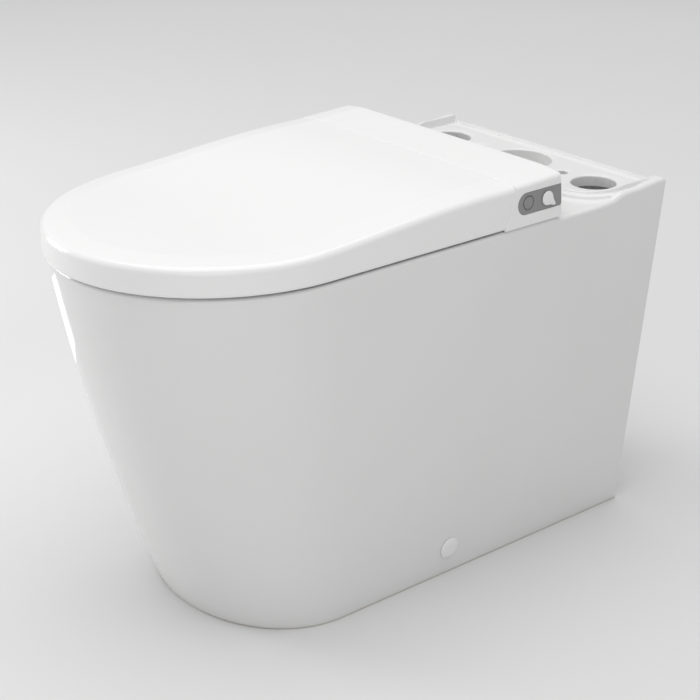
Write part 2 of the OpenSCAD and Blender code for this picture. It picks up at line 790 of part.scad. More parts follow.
module unit_base() {
    plate_rear = -unit_rear - shell_t - 1;
    block_half = half_w - shell_t - 2.7;
    color("gainsboro") from_wall() difference() {
        union() {
            translate([-half_w + shell_t + 0.3, block_rear - 1, unit_foot_z])
                cube([2 * (half_w - shell_t - 0.3), plate_rear - block_rear + 1, plate_t]);
            across(block_half) block_profile();
            translate([-tub_x, tub_front, tub_z])
                cube([2 * tub_x, tub_rear - tub_front, unit_foot_z + plate_t - tub_z]);
            for (side = [-1, 1], x = [pins_x, ear_2x]) hinge_ear(side * x, side);
            for (x = board_posts_x, y = board_posts_y) translate([x, y, unit_foot_z])
                cylinder(r = 3, h = board_z - unit_foot_z);
        }
        // Inside of the tub, open to the casing above it behind the front block
        translate([-tub_x + shell_t, tub_front + shell_t, tub_floor])
            cube([2 * (tub_x - shell_t), tub_rear - tub_front - 2 * shell_t, unit_foot_z - tub_floor]);
        translate([-tub_x + shell_t, block_rear, tub_floor])
            cube([2 * (tub_x - shell_t), tub_rear - block_rear - shell_t, rim_z]);
        // Inside of the front block on both sides of the tub
        both_sides() between(tub_x + 4, block_half - shell_t)
            translate([shelf_front + shell_t, unit_foot_z - 1])
                square([block_rear - shelf_front - 2 * shell_t, shelf_z - unit_foot_z - shell_t + 1]);
        at_arm() translate([-arm_r - 2.5, -12, -arm_r - 2])
            cube([2 * arm_r + 5, 26, 2 * arm_r + rack_h + 5]);
        translate([-fan_x + duct_in, tub_front - 1, tub_floor])
            cube([duct_w, shell_t + 2, duct_h]);
        for (side = [-1, 1]) {
            translate([side * bolts_x, -unit_bolt_y, rim_z])
                cylinder(r = unit_bolt_r + hole_fit, h = rim_t);
            for (x = [pins_x, ear_2x])
                translate([side * x + min(0, side * ear_w) - 1, hinge_y, hinge_z])
                    rod_x(0, ear_w + 2, pin_r + 0.03);
        }
    }
}

// Ear on the front block. Its width runs from x away from the middle.
module hinge_ear(x, side) {
    x0 = side > 0 ? x : x - ear_w;
    between(x0, x0 + ear_w) {
        translate([hinge_y, hinge_z]) circle(r = lug_r);
        translate([hinge_y - lug_r - 3, shelf_z - 5]) square([lug_r + 2.5, hinge_z - shelf_z + 5]);
    }
}

module unit_pads() {
    color("dimgray") from_wall() for (x = [-1, 1], y = [tub_front + 14, tub_rear - 14])
        translate([x * (tub_x - 16), y, well_z]) cylinder(r = 6, h = pad_h);
}

module unit_bolts() {
    color("silver") from_wall() both_sides() translate([bolts_x, -unit_bolt_y, 0]) {
        translate([0, 0, unit_foot_z + plate_t]) cylinder(r = 7, h = 4);
        translate([0, 0, rim_z - unit_bolt_l]) cylinder(r = unit_bolt_r, h = unit_bolt_l + plate_t + 1);
    }
}

module unit_washers() {
    color("dimgray") from_wall() both_sides() translate([bolts_x, -unit_bolt_y, 0]) {
        translate([0, 0, skirt_top - 3]) ring(12, unit_bolt_r + 0.2, 3);
        translate([0, 0, rim_z]) ring(bolt_washer_r, unit_bolt_r + 0.2, unit_foot_z - rim_z);
    }
}

module unit_bolt_nuts() {
    color("white") from_wall() both_sides() translate([bolts_x, -unit_bolt_y, skirt_top - 14]) {
        ring(9, unit_bolt_r + 0.1, 11);
        for (turn = [0, 180]) rotate([0, 0, turn + 90]) translate([8.4, -1.5, 0]) cube([6, 3, 9]);
    }
}

module ring(outer, inner, h) {
    difference() {
        cylinder(r = outer, h = h);
        translate([0, 0, -1]) cylinder(r = inner, h = h + 2);
    }
}

// Side profile of the lid, with its top lowered by an amount
module lid_profile(inset) {
    front = overall_l + 5;
    low = inset > 0 ? lid_z - 5 : lid_z;
    steps = 40;
    polygon(concat(
        [[-front, low]],
        [for (i = [0:steps]) let (y = blend(front, seam_y, i / steps)) [-y, lid_top(y) - inset]],
        [[hinge_y + 2 * hinge_back, seam_z - inset], [hinge_y + 2 * hinge_back, low]]));
}

module lid_plan(inset) {
    polygon(concat([[half_w - inset, 0]],
        nose(half_w - inset, lid_power, lid_turn, overall_l - inset), [[-half_w + inset, 0]]));
}

module lid_space(inset) {
    intersection() {
        linear_extrude(rim_z + 2 * unit_h) lid_plan(inset);
        across(half_w) lid_profile(inset);
    }
}

module lid() {
    color("white") from_wall() difference() {
        union() {
            intersection() {
                difference() {
                    lid_space(0);
                    lid_space(lid_t);
                }
                across(half_w + 1) seam_side(0);
            }
            both_sides() between(lid_lug_x, lid_lug_x + ear_w) {
                translate([hinge_y, hinge_z]) circle(r = lug_r);
                translate([hinge_y - lug_r, hinge_z])
                    square([2 * lug_r, lid_top(-hinge_y) - lid_t - hinge_z + 0.8]);
            }
        }
        both_sides() translate([lid_lug_x - 1, hinge_y, hinge_z])
            rod_x(0, ear_w + 2, pin_r + pin_fit);
    }
}

module lid_bumpers() {
    top = seat_z + seat_h;
    color("gainsboro") from_wall() for (p = lid_pads, side = [-1, 1])
        translate([side * p[0], -p[1], top])
            cylinder(r = 6, h = lid_top(p[1] + 6) - lid_t - top - 0.05);
}

module seat_plan(inset) {
    half = half_w - lid_t - seat_side_gap - inset;
    front = overall_l - lid_t - seat_side_gap - inset;
    difference() {
        polygon(concat([[half, -seat_rear - inset]], nose(half, lid_power, lid_turn, front),
            [[-half, -seat_rear - inset]]));
        polygon(oval(seat_hole_w / 2 + inset, 2.2, hole_front + inset,
            (hole_front + seat_hole_rear) / 2 - 10, seat_hole_rear - inset, 48));
    }
}

module seat_top() {
    top = seat_z + seat_h;
    color("white") from_wall() difference() {
        union() {
            difference() {
                translate([0, 0, seat_z + seat_t]) linear_extrude(seat_h - seat_t) seat_plan(0);
                translate([0, 0, seat_z]) linear_extrude(seat_h - seat_t) seat_plan(seat_t);
            }
            both_sides() translate([seat_lug_x, 0, 0]) hull() {
                translate([0, hinge_y, hinge_z]) rod_x(0, ear_w, lug_r - 0.5);
                translate([0, -seat_rear - 2, top - 6]) rod_x(0, ear_w, 4.5);
            }
            both_sides() translate([seat_lug_x, hinge_y, hinge_z]) rod_x(0, ear_w, lug_r - 0.2);
        }
        both_sides() translate([seat_lug_x - 1, hinge_y, hinge_z])
            rod_x(0, ear_w + 2, pin_r + pin_fit);
    }
}

module seat_bottom() {
    color("white") from_wall() translate([0, 0, seat_z]) linear_extrude(seat_t) seat_plan(0);
}

module seat_heater() {
    color("orange") from_wall() translate([0, 0, seat_z + seat_h - seat_t - 0.6])
        linear_extrude(0.6) seat_plan(seat_t + 8);
}

module seat_bumpers() {
    color("gainsboro") from_wall() for (p = seat_pads, side = [-1, 1])
        translate([side * p[0], -p[1], rim_z]) cylinder(r1 = 7, r2 = 8, h = seat_lift);
}

module hinge_pins() {
    color("silver") from_wall() both_sides() translate([pins_x, hinge_y, hinge_z]) {
        rod_x(0, pin_l, pin_r);
        rod_x(pin_l, pin_l + 2, pin_r + 1.5);
    }
}

module damper(side) {
    x0 = side > 0 ? pins_x - damper_l : -pins_x;
    color("dimgray") from_wall() translate([x0, hinge_y, hinge_z]) {
        rod_x(0, damper_l, lug_r - 0.3);
        rod_x(3, damper_l - 3, lug_r);
    }
}

module lid_damper() {
    damper(1);
}

module seat_damper() {
    damper(-1);
}

module side_panel() {
    face = half_w - 0.4;
    back = half_w - shell_t - 2.2;
    color("gray") from_wall() difference() {
        union() {
            intersection() {
                between(back, face) panel_shape(0);
                across(half_w) unit_profile(0);
            }
            intersection() {
                between(back, half_w - shell_t - 0.1) panel_shape(2.5);
                across(half_w) unit_profile(shell_t + 0.2);
            }
            // Cup behind the push button that holds its switch
            translate([back - cup_l, -button_y, rim_z + panel_up]) rotate([0, 90, 0]) {
                ring(button_r + 2.6, button_r + 0.9, cup_l);
                cylinder(r = button_r + 2.6, h = 1.5);
            }
        }
        translate([back - 1, -button_y, rim_z + panel_up]) rod_x(0, 2.4, button_r + 0.9);
        translate([back - 1, -button_y, rim_z + panel_up]) rod_x(0, 10, button_r + 0.25);
        translate([back - 1, -knob_y, rim_z + panel_up]) rod_x(0, 10, knob_shaft_r + pin_fit);
    }
}

module push_button() {
    face = half_w - 0.6;
    back = half_w - shell_t - 2.2;
    color("dimgray") from_wall() translate([0, -button_y, rim_z + panel_up]) {
        rod_x(back - 1.5, face, button_r);
        rod_x(back - 1.5, back + 1, button_r + 0.6);
        rod_x(back - 3.5, back - 1.5, 2.5);
    }
}

module button_switch() {
    back = half_w - shell_t - 2.2;
    base = back - cup_l + 1.5;
    color("black") from_wall() translate([base, -button_y, rim_z + panel_up]) {
        translate([0, -4, -4]) cube([cup_l - 5 - button_travel - 1.2, 8, 8]);
        rod_x(0, cup_l - 5 - button_travel - 0.4, 1.5);
    }
}

module flow_knob() {
    face = half_w;
    color("white") from_wall() translate([0, -knob_y, rim_z + panel_up]) {
        translate([face, 0, 0]) rotate([90, 0, 90]) linear_extrude(knob_h) hull() {
            circle(r = knob_r);
            rotate(-37.5) translate([knob_tip - 1.6, 0]) circle(r = 1.6);
        }
        rod_x(half_w - shell_t - 3, face, knob_shaft_r);
    }
}

module flow_encoder() {
    back = half_w - shell_t - 2.2;
    color("dimgray") from_wall() translate([0, -knob_y, rim_z + panel_up]) difference() {
        union() {
            rod_x(back - 9, back, 7.5);
            translate([back - 10.6, -9, -9]) cube([1.6, 18, 18]);
        }
        rod_x(back - 3, back + 1, knob_shaft_r + pin_fit);
    }
}

module control_board() {
    x0 = board_posts_x[0] - 4;
    y0 = board_posts_y[0] - 4;
    w = board_posts_x[1] - x0 + 4;
    d = board_posts_y[1] - y0 + 4;
    color("darkgreen") from_wall() {
        translate([x0, y0, board_z]) cube([w, d, 1.6]);
        translate([x0 + w * 0.12, y0 + 10, board_z + 1.6]) cube([w * 0.27, 14, 2]);
        translate([x0 + w / 2, y0 + 8, board_z + 1.6]) cube([w * 0.23, 18, 12]);
        for (i = [0:3]) translate([x0 + w * (0.17 + 0.18 * i), y0 + d - 10, board_z + 1.6])
            cylinder(r = 3, h = 9);
    }
}

module arm_cradle() {
    inner = arm_r + 0.3;
    color("gainsboro") from_wall() difference() {
        union() {
            at_arm() translate([-inner - 3, 3, -inner - 3])
                cube([2 * inner + 6, arm_l - 6, 2 * inner]);
            for (x = [-inner - 3, inner]) between(x, x + 3) polygon([
                [tub_front + shell_t + 2, tub_floor], [tub_front + shell_t + 2, tub_floor + 20],
                [tub_rear - shell_t - 8, tub_floor + 70], [tub_rear - shell_t - 8, tub_floor]]);
            translate([motor_x + 5, motor_y - 5, tub_floor]) cube([10, 10, motor_z - tub_floor]);
        }
        at_arm() {
            translate([0, -20, 0]) rod_y(0, arm_l + 60, inner);
            translate([-inner, -20, 0]) cube([2 * inner, arm_l + 60, 60]);
        }
        translate([motor_x - 1, motor_y, motor_z]) rod_x(0, 40, motor_r + 0.1);
    }
}

module arm_tube() {
    color("gainsboro") from_wall() at_arm() difference() {
        rod_y(0, arm_l, arm_r);
        rod_y(-1, arm_l - 6, arm_r - arm_wall);
        translate([-arm_r, -1, rack_z]) cube([2 * arm_r, arm_l + 2, arm_r]);
    }
}

module arm_tip() {
    color("white") from_wall() at_arm() difference() {
        union() {
            rod_y(-9, 0, arm_r);
            rod_y(-11, -9, arm_r + 1.5);
            rod_y(-0.5, 8, arm_r - arm_wall - 0.1);
        }
        translate([0, -4.5, 0]) cylinder(r = 1.2, h = arm_r + 1);
    }
}

// Straight toothed rack. Its teeth stand up, and its pitch follows the pinion's.
module arm_rack() {
    pitch = rack_pitch;
    count = floor((arm_l - rack_start) / pitch);
    color("silver") from_wall() at_arm() between(-2.5, 2.5) {
        translate([rack_start, rack_z]) square([count * pitch, rack_h - tooth_h]);
        for (i = [0:count - 1]) translate([rack_start + (i + 0.5) * pitch, rack_z + rack_h - tooth_h])
            polygon([[-0.26 * pitch, -0.1], [0.26 * pitch, -0.1], [0.1 * pitch, tooth_h],
                [-0.1 * pitch, tooth_h]]);
    }
}

module arm_pinion() {
    root = pinion_r - 0.6 * tooth_h;
    color("goldenrod") from_wall() at_arm() translate([0, pinion_y, pinion_z]) {
        between(-2.4, 2.4) rotate(270 + 180 / pinion_teeth) {
            circle(r = root);
            for (i = [0:pinion_teeth - 1]) rotate(360 * i / pinion_teeth)
                polygon([[root - 0.4, -0.8], [root + tooth_h, -0.3], [root + tooth_h, 0.3],
                    [root - 0.4, 0.8]]);
        }
        rod_x(-4, motor_x + 5, 1.5);
    }
}

module arm_motor() {
    color("silver") from_wall() translate([0, motor_y, motor_z]) difference() {
        union() {
            rod_x(motor_x, motor_x + 22, motor_r);
            translate([motor_x, 0, 0]) rod_x(-1.5, 0, 4);
        }
        rod_x(motor_x - 2, motor_x + 6, 1.5 + pin_fit);
    }
}

module heater_tank() {
    color("beige") from_wall() translate([tank_x, tank_y, tub_floor]) {
        difference() {
            cube([tank_w, tank_l, tank_h]);
            translate([tank_t, tank_t, tank_t])
                cube([tank_w - 2 * tank_t, tank_l - 2 * tank_t, tank_h - 2 * tank_t]);
            translate([tank_w / 2, tank_l, tank_h / 2]) rod_y(-10, 10, 3);
        }
        translate([tank_w / 2, tank_l, tank_h / 2]) pipe(10, 3, 5);
    }
}

module heater_element() {
    r = 3;
    bend = 12;
    length = tank_l - 40;
    color("silver") from_wall() translate([tank_x + tank_w / 2, tank_y + tank_t, tub_floor + 10]) {
        for (side = [-1, 1]) translate([side * bend, 0, 0]) rod_y(0, length, r);
        translate([0, length, 0]) rotate_extrude(angle = 180) translate([bend, 0]) circle(r = r);
    }
}

module water_pump() {
    r = 12;
    color("dimgray") from_wall() translate([-32, tub_front + shell_t + 8, tub_floor + r]) {
        rod_y(0, 44, r);
        rod_y(44, 62, r - 4);
        translate([-5, 4, 0]) cube([10, 10, r + 6]);
    }
}

module inlet_valve() {
    color("white") from_wall() translate([-tub_x + shell_t + 2, tub_front + shell_t + 2, tub_floor]) {
        cube([30, 34, 20]);
        translate([15, 17, 20]) cylinder(r = 9, h = 14);
    }
}

module water_inlet() {
    inner_end = -unit_rear - shell_t - 14;
    outer_end = -unit_rear + water_l;
    foot = unit_foot_z + plate_t - port_z;
    color("gold") from_wall() translate([water_x, 0, port_z]) difference() {
        union() {
            rod_y(inner_end, outer_end, water_r - 0.7);
            rod_y(outer_end - 14, outer_end, water_r);
            rod_y(inner_end, inner_end + 10, water_r + 3);
            translate([-8, inner_end, foot]) cube([16, 8, -foot]);
        }
        rod_y(inner_end - 1, outer_end + 1, water_r - 3);
    }
}

module power_gland() {
    inner_end = -unit_rear - shell_t - 8;
    outer_end = -unit_rear + 8;
    foot = unit_foot_z + plate_t - port_z;
    color("dimgray") from_wall() translate([power_x, 0, port_z]) difference() {
        union() {
            rod_y(inner_end, outer_end, power_r);
            rod_y(inner_end, inner_end + 4, power_r + 3);
            translate([-6, inner_end, foot]) cube([12, 4, -foot]);
        }
        rod_y(inner_end - 1, outer_end + 1, cord_r);
    }
}

module fan_housing() {
    color("gainsboro") from_wall() translate([-fan_x, fan_y, tub_floor]) difference() {
        union() {
            cylinder(r = fan_r, h = fan_h);
            translate([duct_in, -fan_r - 2, 0]) cube([duct_w, fan_r + 2, fan_h]);
        }
        translate([0, 0, 2]) cylinder(r = fan_r - 2, h = fan_h - 4);
        translate([duct_in + 2, -fan_r - 3, 2]) cube([duct_w - 4, fan_r + 3, fan_h - 4]);
        translate([0, 0, fan_h - 3]) cylinder(r = fan_r - 12, h = 4);
        translate([0, 0, -1]) cylinder(r = 2 + pin_fit, h = 4);
    }
}

module fan_rotor() {
    color("dimgray") from_wall() translate([-fan_x, fan_y, tub_floor]) {
        translate([0, 0, 6]) cylinder(r = fan_r - 6, h = 1.5);
        translate([0, 0, 0.4]) cylinder(r = 2, h = fan_h - 7);
        for (i = [0:fan_blades - 1]) rotate([0, 0, 360 * i / fan_blades])
            translate([fan_r - 12, -0.6, 7.3]) cube([5.5, 1.2, fan_h - 12]);
    }
}

module fan_motor() {
    color("silver") from_wall() translate([-fan_x, fan_y, tub_floor + fan_h]) difference() {
        union() {
            cylinder(r = 11, h = 16);
            translate([-fan_r + 4, -3, 0]) cube([2 * fan_r - 8, 6, 1.5]);
            translate([0, 0, -7]) cylinder(r = 6, h = 7);
        }
        translate([0, 0, -8]) cylinder(r = 2 + pin_fit, h = 6);
    }
}

module dryer_duct() {
    length = fan_y - fan_r - 2 - tub_front - 0.2;
    color("gainsboro") from_wall() translate([-fan_x + duct_in, tub_front + 0.2, tub_floor])
        difference() {
            translate([0.3, 0, 0.3]) cube([duct_w - 0.6, length, duct_h - 0.6]);
            translate([2, -1, 2]) cube([duct_w - 4, length + 2, duct_h - 4]);
        }
}

module odour_cartridge() {
    length = 50;
    front = block_rear + 5;
    depth = -unit_bolt_y - bolt_washer_r - 1.5 - front;
    color("gainsboro") from_wall()
        translate([-half_w + shell_t + 6, front, unit_foot_z + plate_t]) {
            cube([length, depth, 20]);
            for (x = [5:7:length - 8]) translate([x, 3, 20]) cube([3, depth - 6, 1]);
        }
}

pan_skirt();
pan_rim();
pan_bowl();
pan_deck();
unit_well();
trapway();
outlet_spigot();
flush_channel();
side_bolts();
bolt_caps();
floor_brackets();
bracket_nuts();
floor_screws();
unit_base();
unit_cover();
unit_pads();
unit_bolts();
unit_bolt_nuts();
unit_washers();
lid();
lid_bumpers();
seat_top();
seat_bottom();
seat_heater();
seat_bumpers();
hinge_pins();
lid_damper();
seat_damper();
side_panel();
push_button();
button_switch();
flow_knob();
flow_encoder();
control_board();
arm_cradle();
arm_tube();
arm_tip();
arm_rack();
arm_motor();
arm_pinion();
heater_tank();
heater_element();
water_pump();
inlet_valve();
water_inlet();
power_gland();
fan_housing();
fan_rotor();
fan_motor();
dryer_duct();
odour_cartridge();
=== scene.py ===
import json
import math
import bpy
import bmesh
import numpy as np
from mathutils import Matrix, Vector, geometry


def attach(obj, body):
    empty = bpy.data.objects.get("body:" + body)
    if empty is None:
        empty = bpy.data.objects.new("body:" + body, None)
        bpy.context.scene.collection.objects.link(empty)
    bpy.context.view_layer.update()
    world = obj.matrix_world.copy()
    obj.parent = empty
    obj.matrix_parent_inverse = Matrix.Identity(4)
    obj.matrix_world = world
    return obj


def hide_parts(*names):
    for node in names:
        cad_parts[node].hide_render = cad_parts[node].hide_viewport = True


# Washing toilet: ceramic pan, seat unit with side controls, lid and seat.
# Shapes are written in millimetres as x, depth from the wall and height, and place() turns them
# into the frame of the CAD model.

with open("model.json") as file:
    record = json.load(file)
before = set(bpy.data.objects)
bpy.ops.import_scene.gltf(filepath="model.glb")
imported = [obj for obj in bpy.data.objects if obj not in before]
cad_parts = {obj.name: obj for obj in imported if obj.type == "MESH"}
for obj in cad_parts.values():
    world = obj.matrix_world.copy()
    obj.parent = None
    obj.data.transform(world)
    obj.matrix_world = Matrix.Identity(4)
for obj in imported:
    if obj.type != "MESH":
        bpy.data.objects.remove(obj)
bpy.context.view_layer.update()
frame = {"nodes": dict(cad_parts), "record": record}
scene = bpy.context.scene
halfLength = 351.5  # the frame's origin is this far from the wall
rightAngle = math.pi / 2
print("frame loaded")


def place(points):
    p = np.asarray(points, float)
    return np.column_stack([p[:, 0], halfLength - p[:, 1], p[:, 2]]) / 1000


def newObject(name, data):
    made = bpy.data.objects.new(name, data)
    scene.collection.objects.link(made)
    return made


def newMesh(name):
    mesh = bpy.data.meshes.new(name)
    for k in range(2):  # one slot for the piece's own finish, one for unglazed clay darkened as painted shade
        mesh.materials.append(None)
    return mesh


def newPiece(name, points, faces, kind=0):
    mesh = newMesh(name)
    mesh.from_pydata(place(points).tolist(), [], faces)
    work = bmesh.new()
    work.from_mesh(mesh)
    bmesh.ops.remove_doubles(work, verts=work.verts, dist=1e-6)
    bmesh.ops.recalc_face_normals(work, faces=work.faces)
    for face in work.faces:
        face.material_index = kind
    work.to_mesh(mesh)
    work.free()
    return newObject(name, mesh)


def lead(value, line):
    # a column with one value before a line
    return np.column_stack([np.full(len(line), value), line])


def trail(line, value):
    return np.column_stack([line, np.full(len(line), value)])


def circle(steps):
    a = np.linspace(0, 2 * math.pi, steps, endpoint=False)
    return np.cos(a), np.sin(a)


def arc(x, y, r, start, end, steps):
    a = np.linspace(start, end, steps)
    return np.column_stack([x + r * np.cos(a), y + r * np.sin(a)])


def quarter(steps, start=0.0):
    # a quarter round of radius 1, as distances in from its side and down from its crown
    return [(1 - math.cos(a), 1 - math.sin(a)) for a in np.linspace(start, rightAngle, steps)]


def loft(name, rings, kind=0, top=None, hoop=False):
    # rings with the same number of points, joined in order; top is a ready surface for the last one
    n, count = len(rings[0]), len(rings)
    points = np.vstack(rings)
    faces = []
    for j in range(count if hoop else count - 1):
        up = (j + 1) % count
        faces += [[j * n + i, j * n + (i + 1) % n, up * n + (i + 1) % n, up * n + i] for i in range(n)]
    if not hoop:
        faces.append(list(range(n)))
        if top is None:
            faces.append([(count - 1) * n + i for i in range(n)])
        else:
            faces += [[len(points) + i for i in f] for f in top[1]]
            points = np.vstack([points, top[0]])
    return newPiece(name, points, faces, kind)


def fillLoop(ring, inner, height):
    # a surface inside a ring, through inner points of x and depth, with its height from a function
    n = len(ring)
    flat = [Vector((float(a), float(b))) for a, b in np.vstack([ring[:, :2], inner])]
    made = geometry.delaunay_2d_cdt(flat, [(i, (i + 1) % n) for i in range(n)], [], 1, 1e-6)
    xy = np.array([tuple(v) for v in made[0]])
    points = np.column_stack([xy, height(xy[:, 0], xy[:, 1])])
    for k, came in enumerate(made[3]):
        if came and min(came) < n:
            points[k] = ring[min(came)]
    return points, [list(f) for f in made[2]]


def gridTop(ring, columns, height):
    # a surface inside a ring that is the same left and right, in rows across it, which meet at the tip;
    # the first row is the straight rear edge and has no points of its own
    half, wide = len(ring) // 2, columns + 1
    t = np.linspace(0, 1, wide)[:, None]
    rows = np.array([ring[i] * (1 - t) + ring[-1 - i] * t for i in range(1, half)])
    rows[:, 1:-1, 2] = height(rows[:, 1:-1, 1])
    points = np.vstack([rows.reshape(-1, 3), ring[[half, 0, -1]]])
    tip, right, left = len(points) - 3, len(points) - 2, len(points) - 1
    faces = [[right] + list(range(wide)) + [left]]
    for a in range(0, tip - wide, wide):
        faces += [[a + j, a + j + 1, a + wide + j + 1, a + wide + j] for j in range(columns)]
    last = tip - wide
    return points, faces + [[last + j, last + j + 1, tip] for j in range(columns)]


def box(name, across, depths, heights, kind=0):
    (x0, x1), (d0, d1) = across, depths
    ring = np.array([[x0, d0], [x1, d0], [x1, d1], [x0, d1]], float)
    return loft(name, [trail(ring, z) for z in heights], kind)


def slab(name, profile, x0, x1, kind=0):
    # straight across, from a side view of depth and height
    return loft(name, [lead(x, np.asarray(profile, float)) for x in (x0, x1)], kind)


def turned(name, axis, profile, centre, kind=0, steps=72):
    # turned round an axis that runs across (0), from the wall (1) or up (2); the profile holds
    # distances along the axis and radii, and the centre gives the other two measures
    c, s = circle(steps)
    return loft(name, [np.insert(np.column_stack([centre[0] + r * c, centre[1] + r * s]), axis, along, axis=1)
                       for along, r in profile], kind)


def rod(name, axis, start, end, radius, centre, kind=0, steps=72):
    return turned(name, axis, [(start, radius), (end, radius)], centre, kind, steps)


def tube(name, path, radius, kind=0):
    # swept along points of depth, height and heading in the middle plane
    x, up = (radius * v for v in circle(48))
    rings = [np.column_stack([x, d + up * math.sin(h), z + up * math.cos(h)]) for d, z, h in path]
    return loft(name, rings, kind)


def combine(base, tool, how):
    step = base.modifiers.new("combine", "BOOLEAN")
    step.operation = how
    step.solver = "MANIFOLD"
    step.object = tool
    made = bpy.data.meshes.new_from_object(base.evaluated_get(bpy.context.evaluated_depsgraph_get()))
    base.modifiers.clear()
    base.data = made
    bpy.data.objects.remove(tool)


def cut(base, tool):
    combine(base, tool, "DIFFERENCE")


def add(base, tool):
    combine(base, tool, "UNION")


def merged(name, parts):
    # several closed meshes as one piece
    work = bmesh.new()
    for part in parts:
        work.from_mesh(part.data)
        bpy.data.objects.remove(part)
    mesh = newMesh(name)
    work.to_mesh(mesh)
    work.free()
    return newObject(name, mesh)


def finished(piece, body, slot, *nodes):
    # smooth sides with sharp corners, the finish of its slot, and its place in the CAD model
    piece.data.polygons.foreach_set("use_smooth", [True] * len(piece.data.polygons))
    piece.data.set_sharp_from_angle(angle=math.radians(32))
    piece.data.materials.clear()
    piece.data.materials.append(finishes[slot])
    # the second slot holds the clay that is darkened as painted shade
    piece.data.materials.append(unglazedClayWithPaintedShade)
    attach(piece, body)
    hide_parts(*nodes)
    return piece


def ramp(v, start, length):
    return np.clip((v - start) / length, 0, 1)


def ease(v, start=0, length=1):
    t = ramp(v, start, length)
    return t * t * (3 - 2 * t)


def signedPower(v, n):
    return np.sign(v) * np.abs(v) ** (2 / n)


def noseLine(shape, inset, steps):
    # half superellipse from the right side round the front to the left
    t = np.linspace(0, math.pi, 2 * steps + 1)
    c, s = signedPower(np.cos(t), shape["power"]), signedPower(np.sin(t), shape["power"])
    return np.column_stack([(shape["half"] - inset) * c,
                            shape["turn"] + (shape["front"] - inset - shape["turn"]) * s])


def egg(steps, half, front, middle, rear, power):
    # superellipse that reaches differently to the front and to the rear
    c, s = circle(steps)
    reach = np.where(s >= 0, front - middle, middle - rear)
    return np.column_stack([half * signedPower(c, power), middle + reach * signedPower(s, power)])


def insideLoop(points, loop):
    a, b = loop, np.roll(loop, -1, axis=0)
    x, y = points[:, :1], points[:, 1:]
    cross = (a[:, 1] > y) != (b[:, 1] > y)
    slope = np.where(a[:, 1] == b[:, 1], 1, b[:, 1] - a[:, 1])
    hits = cross & (x < a[:, 0] + (y - a[:, 1]) / slope * (b[:, 0] - a[:, 0]))
    return np.sum(hits, axis=1) % 2 == 1


# node work: a wire is a socket that takes part in arithmetic, a graph makes nodes by one call,
# and a finish is the graph of one material
class wire:
    def __init__(self, owner, socket):
        self.owner, self.socket = owner, socket

    def __add__(self, other):
        return self.owner.maths("ADD", self, other)

    def __sub__(self, other):
        return self.owner.maths("SUBTRACT", self, other)

    def __rsub__(self, other):
        return self.owner.maths("SUBTRACT", other, self)

    def __mul__(self, other):
        return self.owner.maths("MULTIPLY", self, other)

    __radd__, __rmul__ = __add__, __mul__


class graph:
    def __init__(self, tree):
        self.tree = tree

    def node(self, kind, settings, values, out=0):
        made = self.tree.nodes.new(kind)
        for key, value in settings.items():
            setattr(made, key, value)
        for key, value in values.items():
            if isinstance(value, wire):
                self.tree.links.new(value.socket, made.inputs[key])
            else:
                made.inputs[key].default_value = value
        return wire(self, made.outputs[out] if made.outputs else None)

    def maths(self, operation, a, b):
        return self.node("ShaderNodeMath", dict(operation=operation), {0: a, 1: b})

    def vector(self, operation, a, values):
        return self.node("ShaderNodeVectorMath", dict(operation=operation), {0: a, **values})


class finish(graph):
    def __init__(self, name, **fixed):
        self.material = bpy.data.materials.new(name)
        self.material.use_nodes = True
        super().__init__(self.material.node_tree)
        self.shader = self.tree.nodes["Principled BSDF"]
        for key, value in fixed.items():
            self.shader.inputs[key.replace("_", " ")].default_value = value
        self.where = self.node("ShaderNodeTexCoord", {}, {}, "Object")

    def noise(self, scale, detail=2.0, stretch=(1, 1, 1)):
        at = self.node("ShaderNodeMapping", {}, {"Vector": self.where, "Scale": stretch})
        return self.node("ShaderNodeTexNoise", {}, {"Vector": at, "Scale": scale, "Detail": detail})

    def between(self, value, low, high):
        # 0 below low, 1 above high
        return self.node("ShaderNodeMapRange", {}, {"Value": value, "From Min": low, "From Max": high})

    def height(self):
        return self.node("ShaderNodeSeparateXYZ", {}, {0: self.where}, "Z")

    def mix(self, factor, a, b):
        a, b = (v if isinstance(v, wire) else (*v, 1) for v in (a, b))
        return self.node("ShaderNodeMix", dict(data_type="RGBA"), {0: factor, 6: a, 7: b}, 2)

    def feed(self, socket, value):
        self.tree.links.new(value.socket, self.shader.inputs[socket])

    def coat(self, share, tone, other, rough, *layers):
        # each layer is a height field and its depth in metres
        self.feed("Base Color", self.mix(share, tone, other))
        self.feed("Roughness", rough)
        relief = layers[0][0] * layers[0][1]
        for field, deep in layers[1:]:
            relief = relief + field * deep
        values = {"Height": relief, "Strength": 1.0, "Distance": 1.0}
        self.feed("Normal", self.node("ShaderNodeBump", {}, values, "Normal"))
        return self.material


def ceramic():
    # glaze: a hard gloss over a body that is never quite even, and a raw edge where it stands on the floor
    m = finish("glazedCeramic", IOR=1.52)
    raw = 1 - m.between(m.height(), 0.0012, 0.0032)
    tone = m.mix(m.noise(7, 3), (0.755, 0.755, 0.75), (0.785, 0.785, 0.785))
    return m.coat(raw, tone, (0.60, 0.58, 0.54), m.noise(45, 3) * 0.05 + 0.06 + raw * 0.5,
                  (m.noise(11, 1), 0.0006), (m.noise(260, 2), 0.000012))


# unglazed clay for the walls inside the pan, far darker than the real pale body: painted shade for the hollows
# seen through the holes
def rawClayWithPaintedShade():
    m = finish("unglazedClayWithPaintedShade", IOR=1.5)
    return m.coat(m.noise(30, 4), (0.25, 0.24, 0.225), (0.34, 0.33, 0.31), m.noise(120, 2) * 0.2 + 0.6,
                  (m.noise(500, 3), 0.0001))


def glossPlastic():
    m = finish("whiteGlossPlastic", IOR=1.49)
    return m.coat(m.noise(5, 2), (0.835, 0.835, 0.83), (0.855, 0.855, 0.855), m.noise(60, 3) * 0.06 + 0.17,
                  (m.noise(9, 1), 0.00025), (m.noise(700, 2), 0.000004))


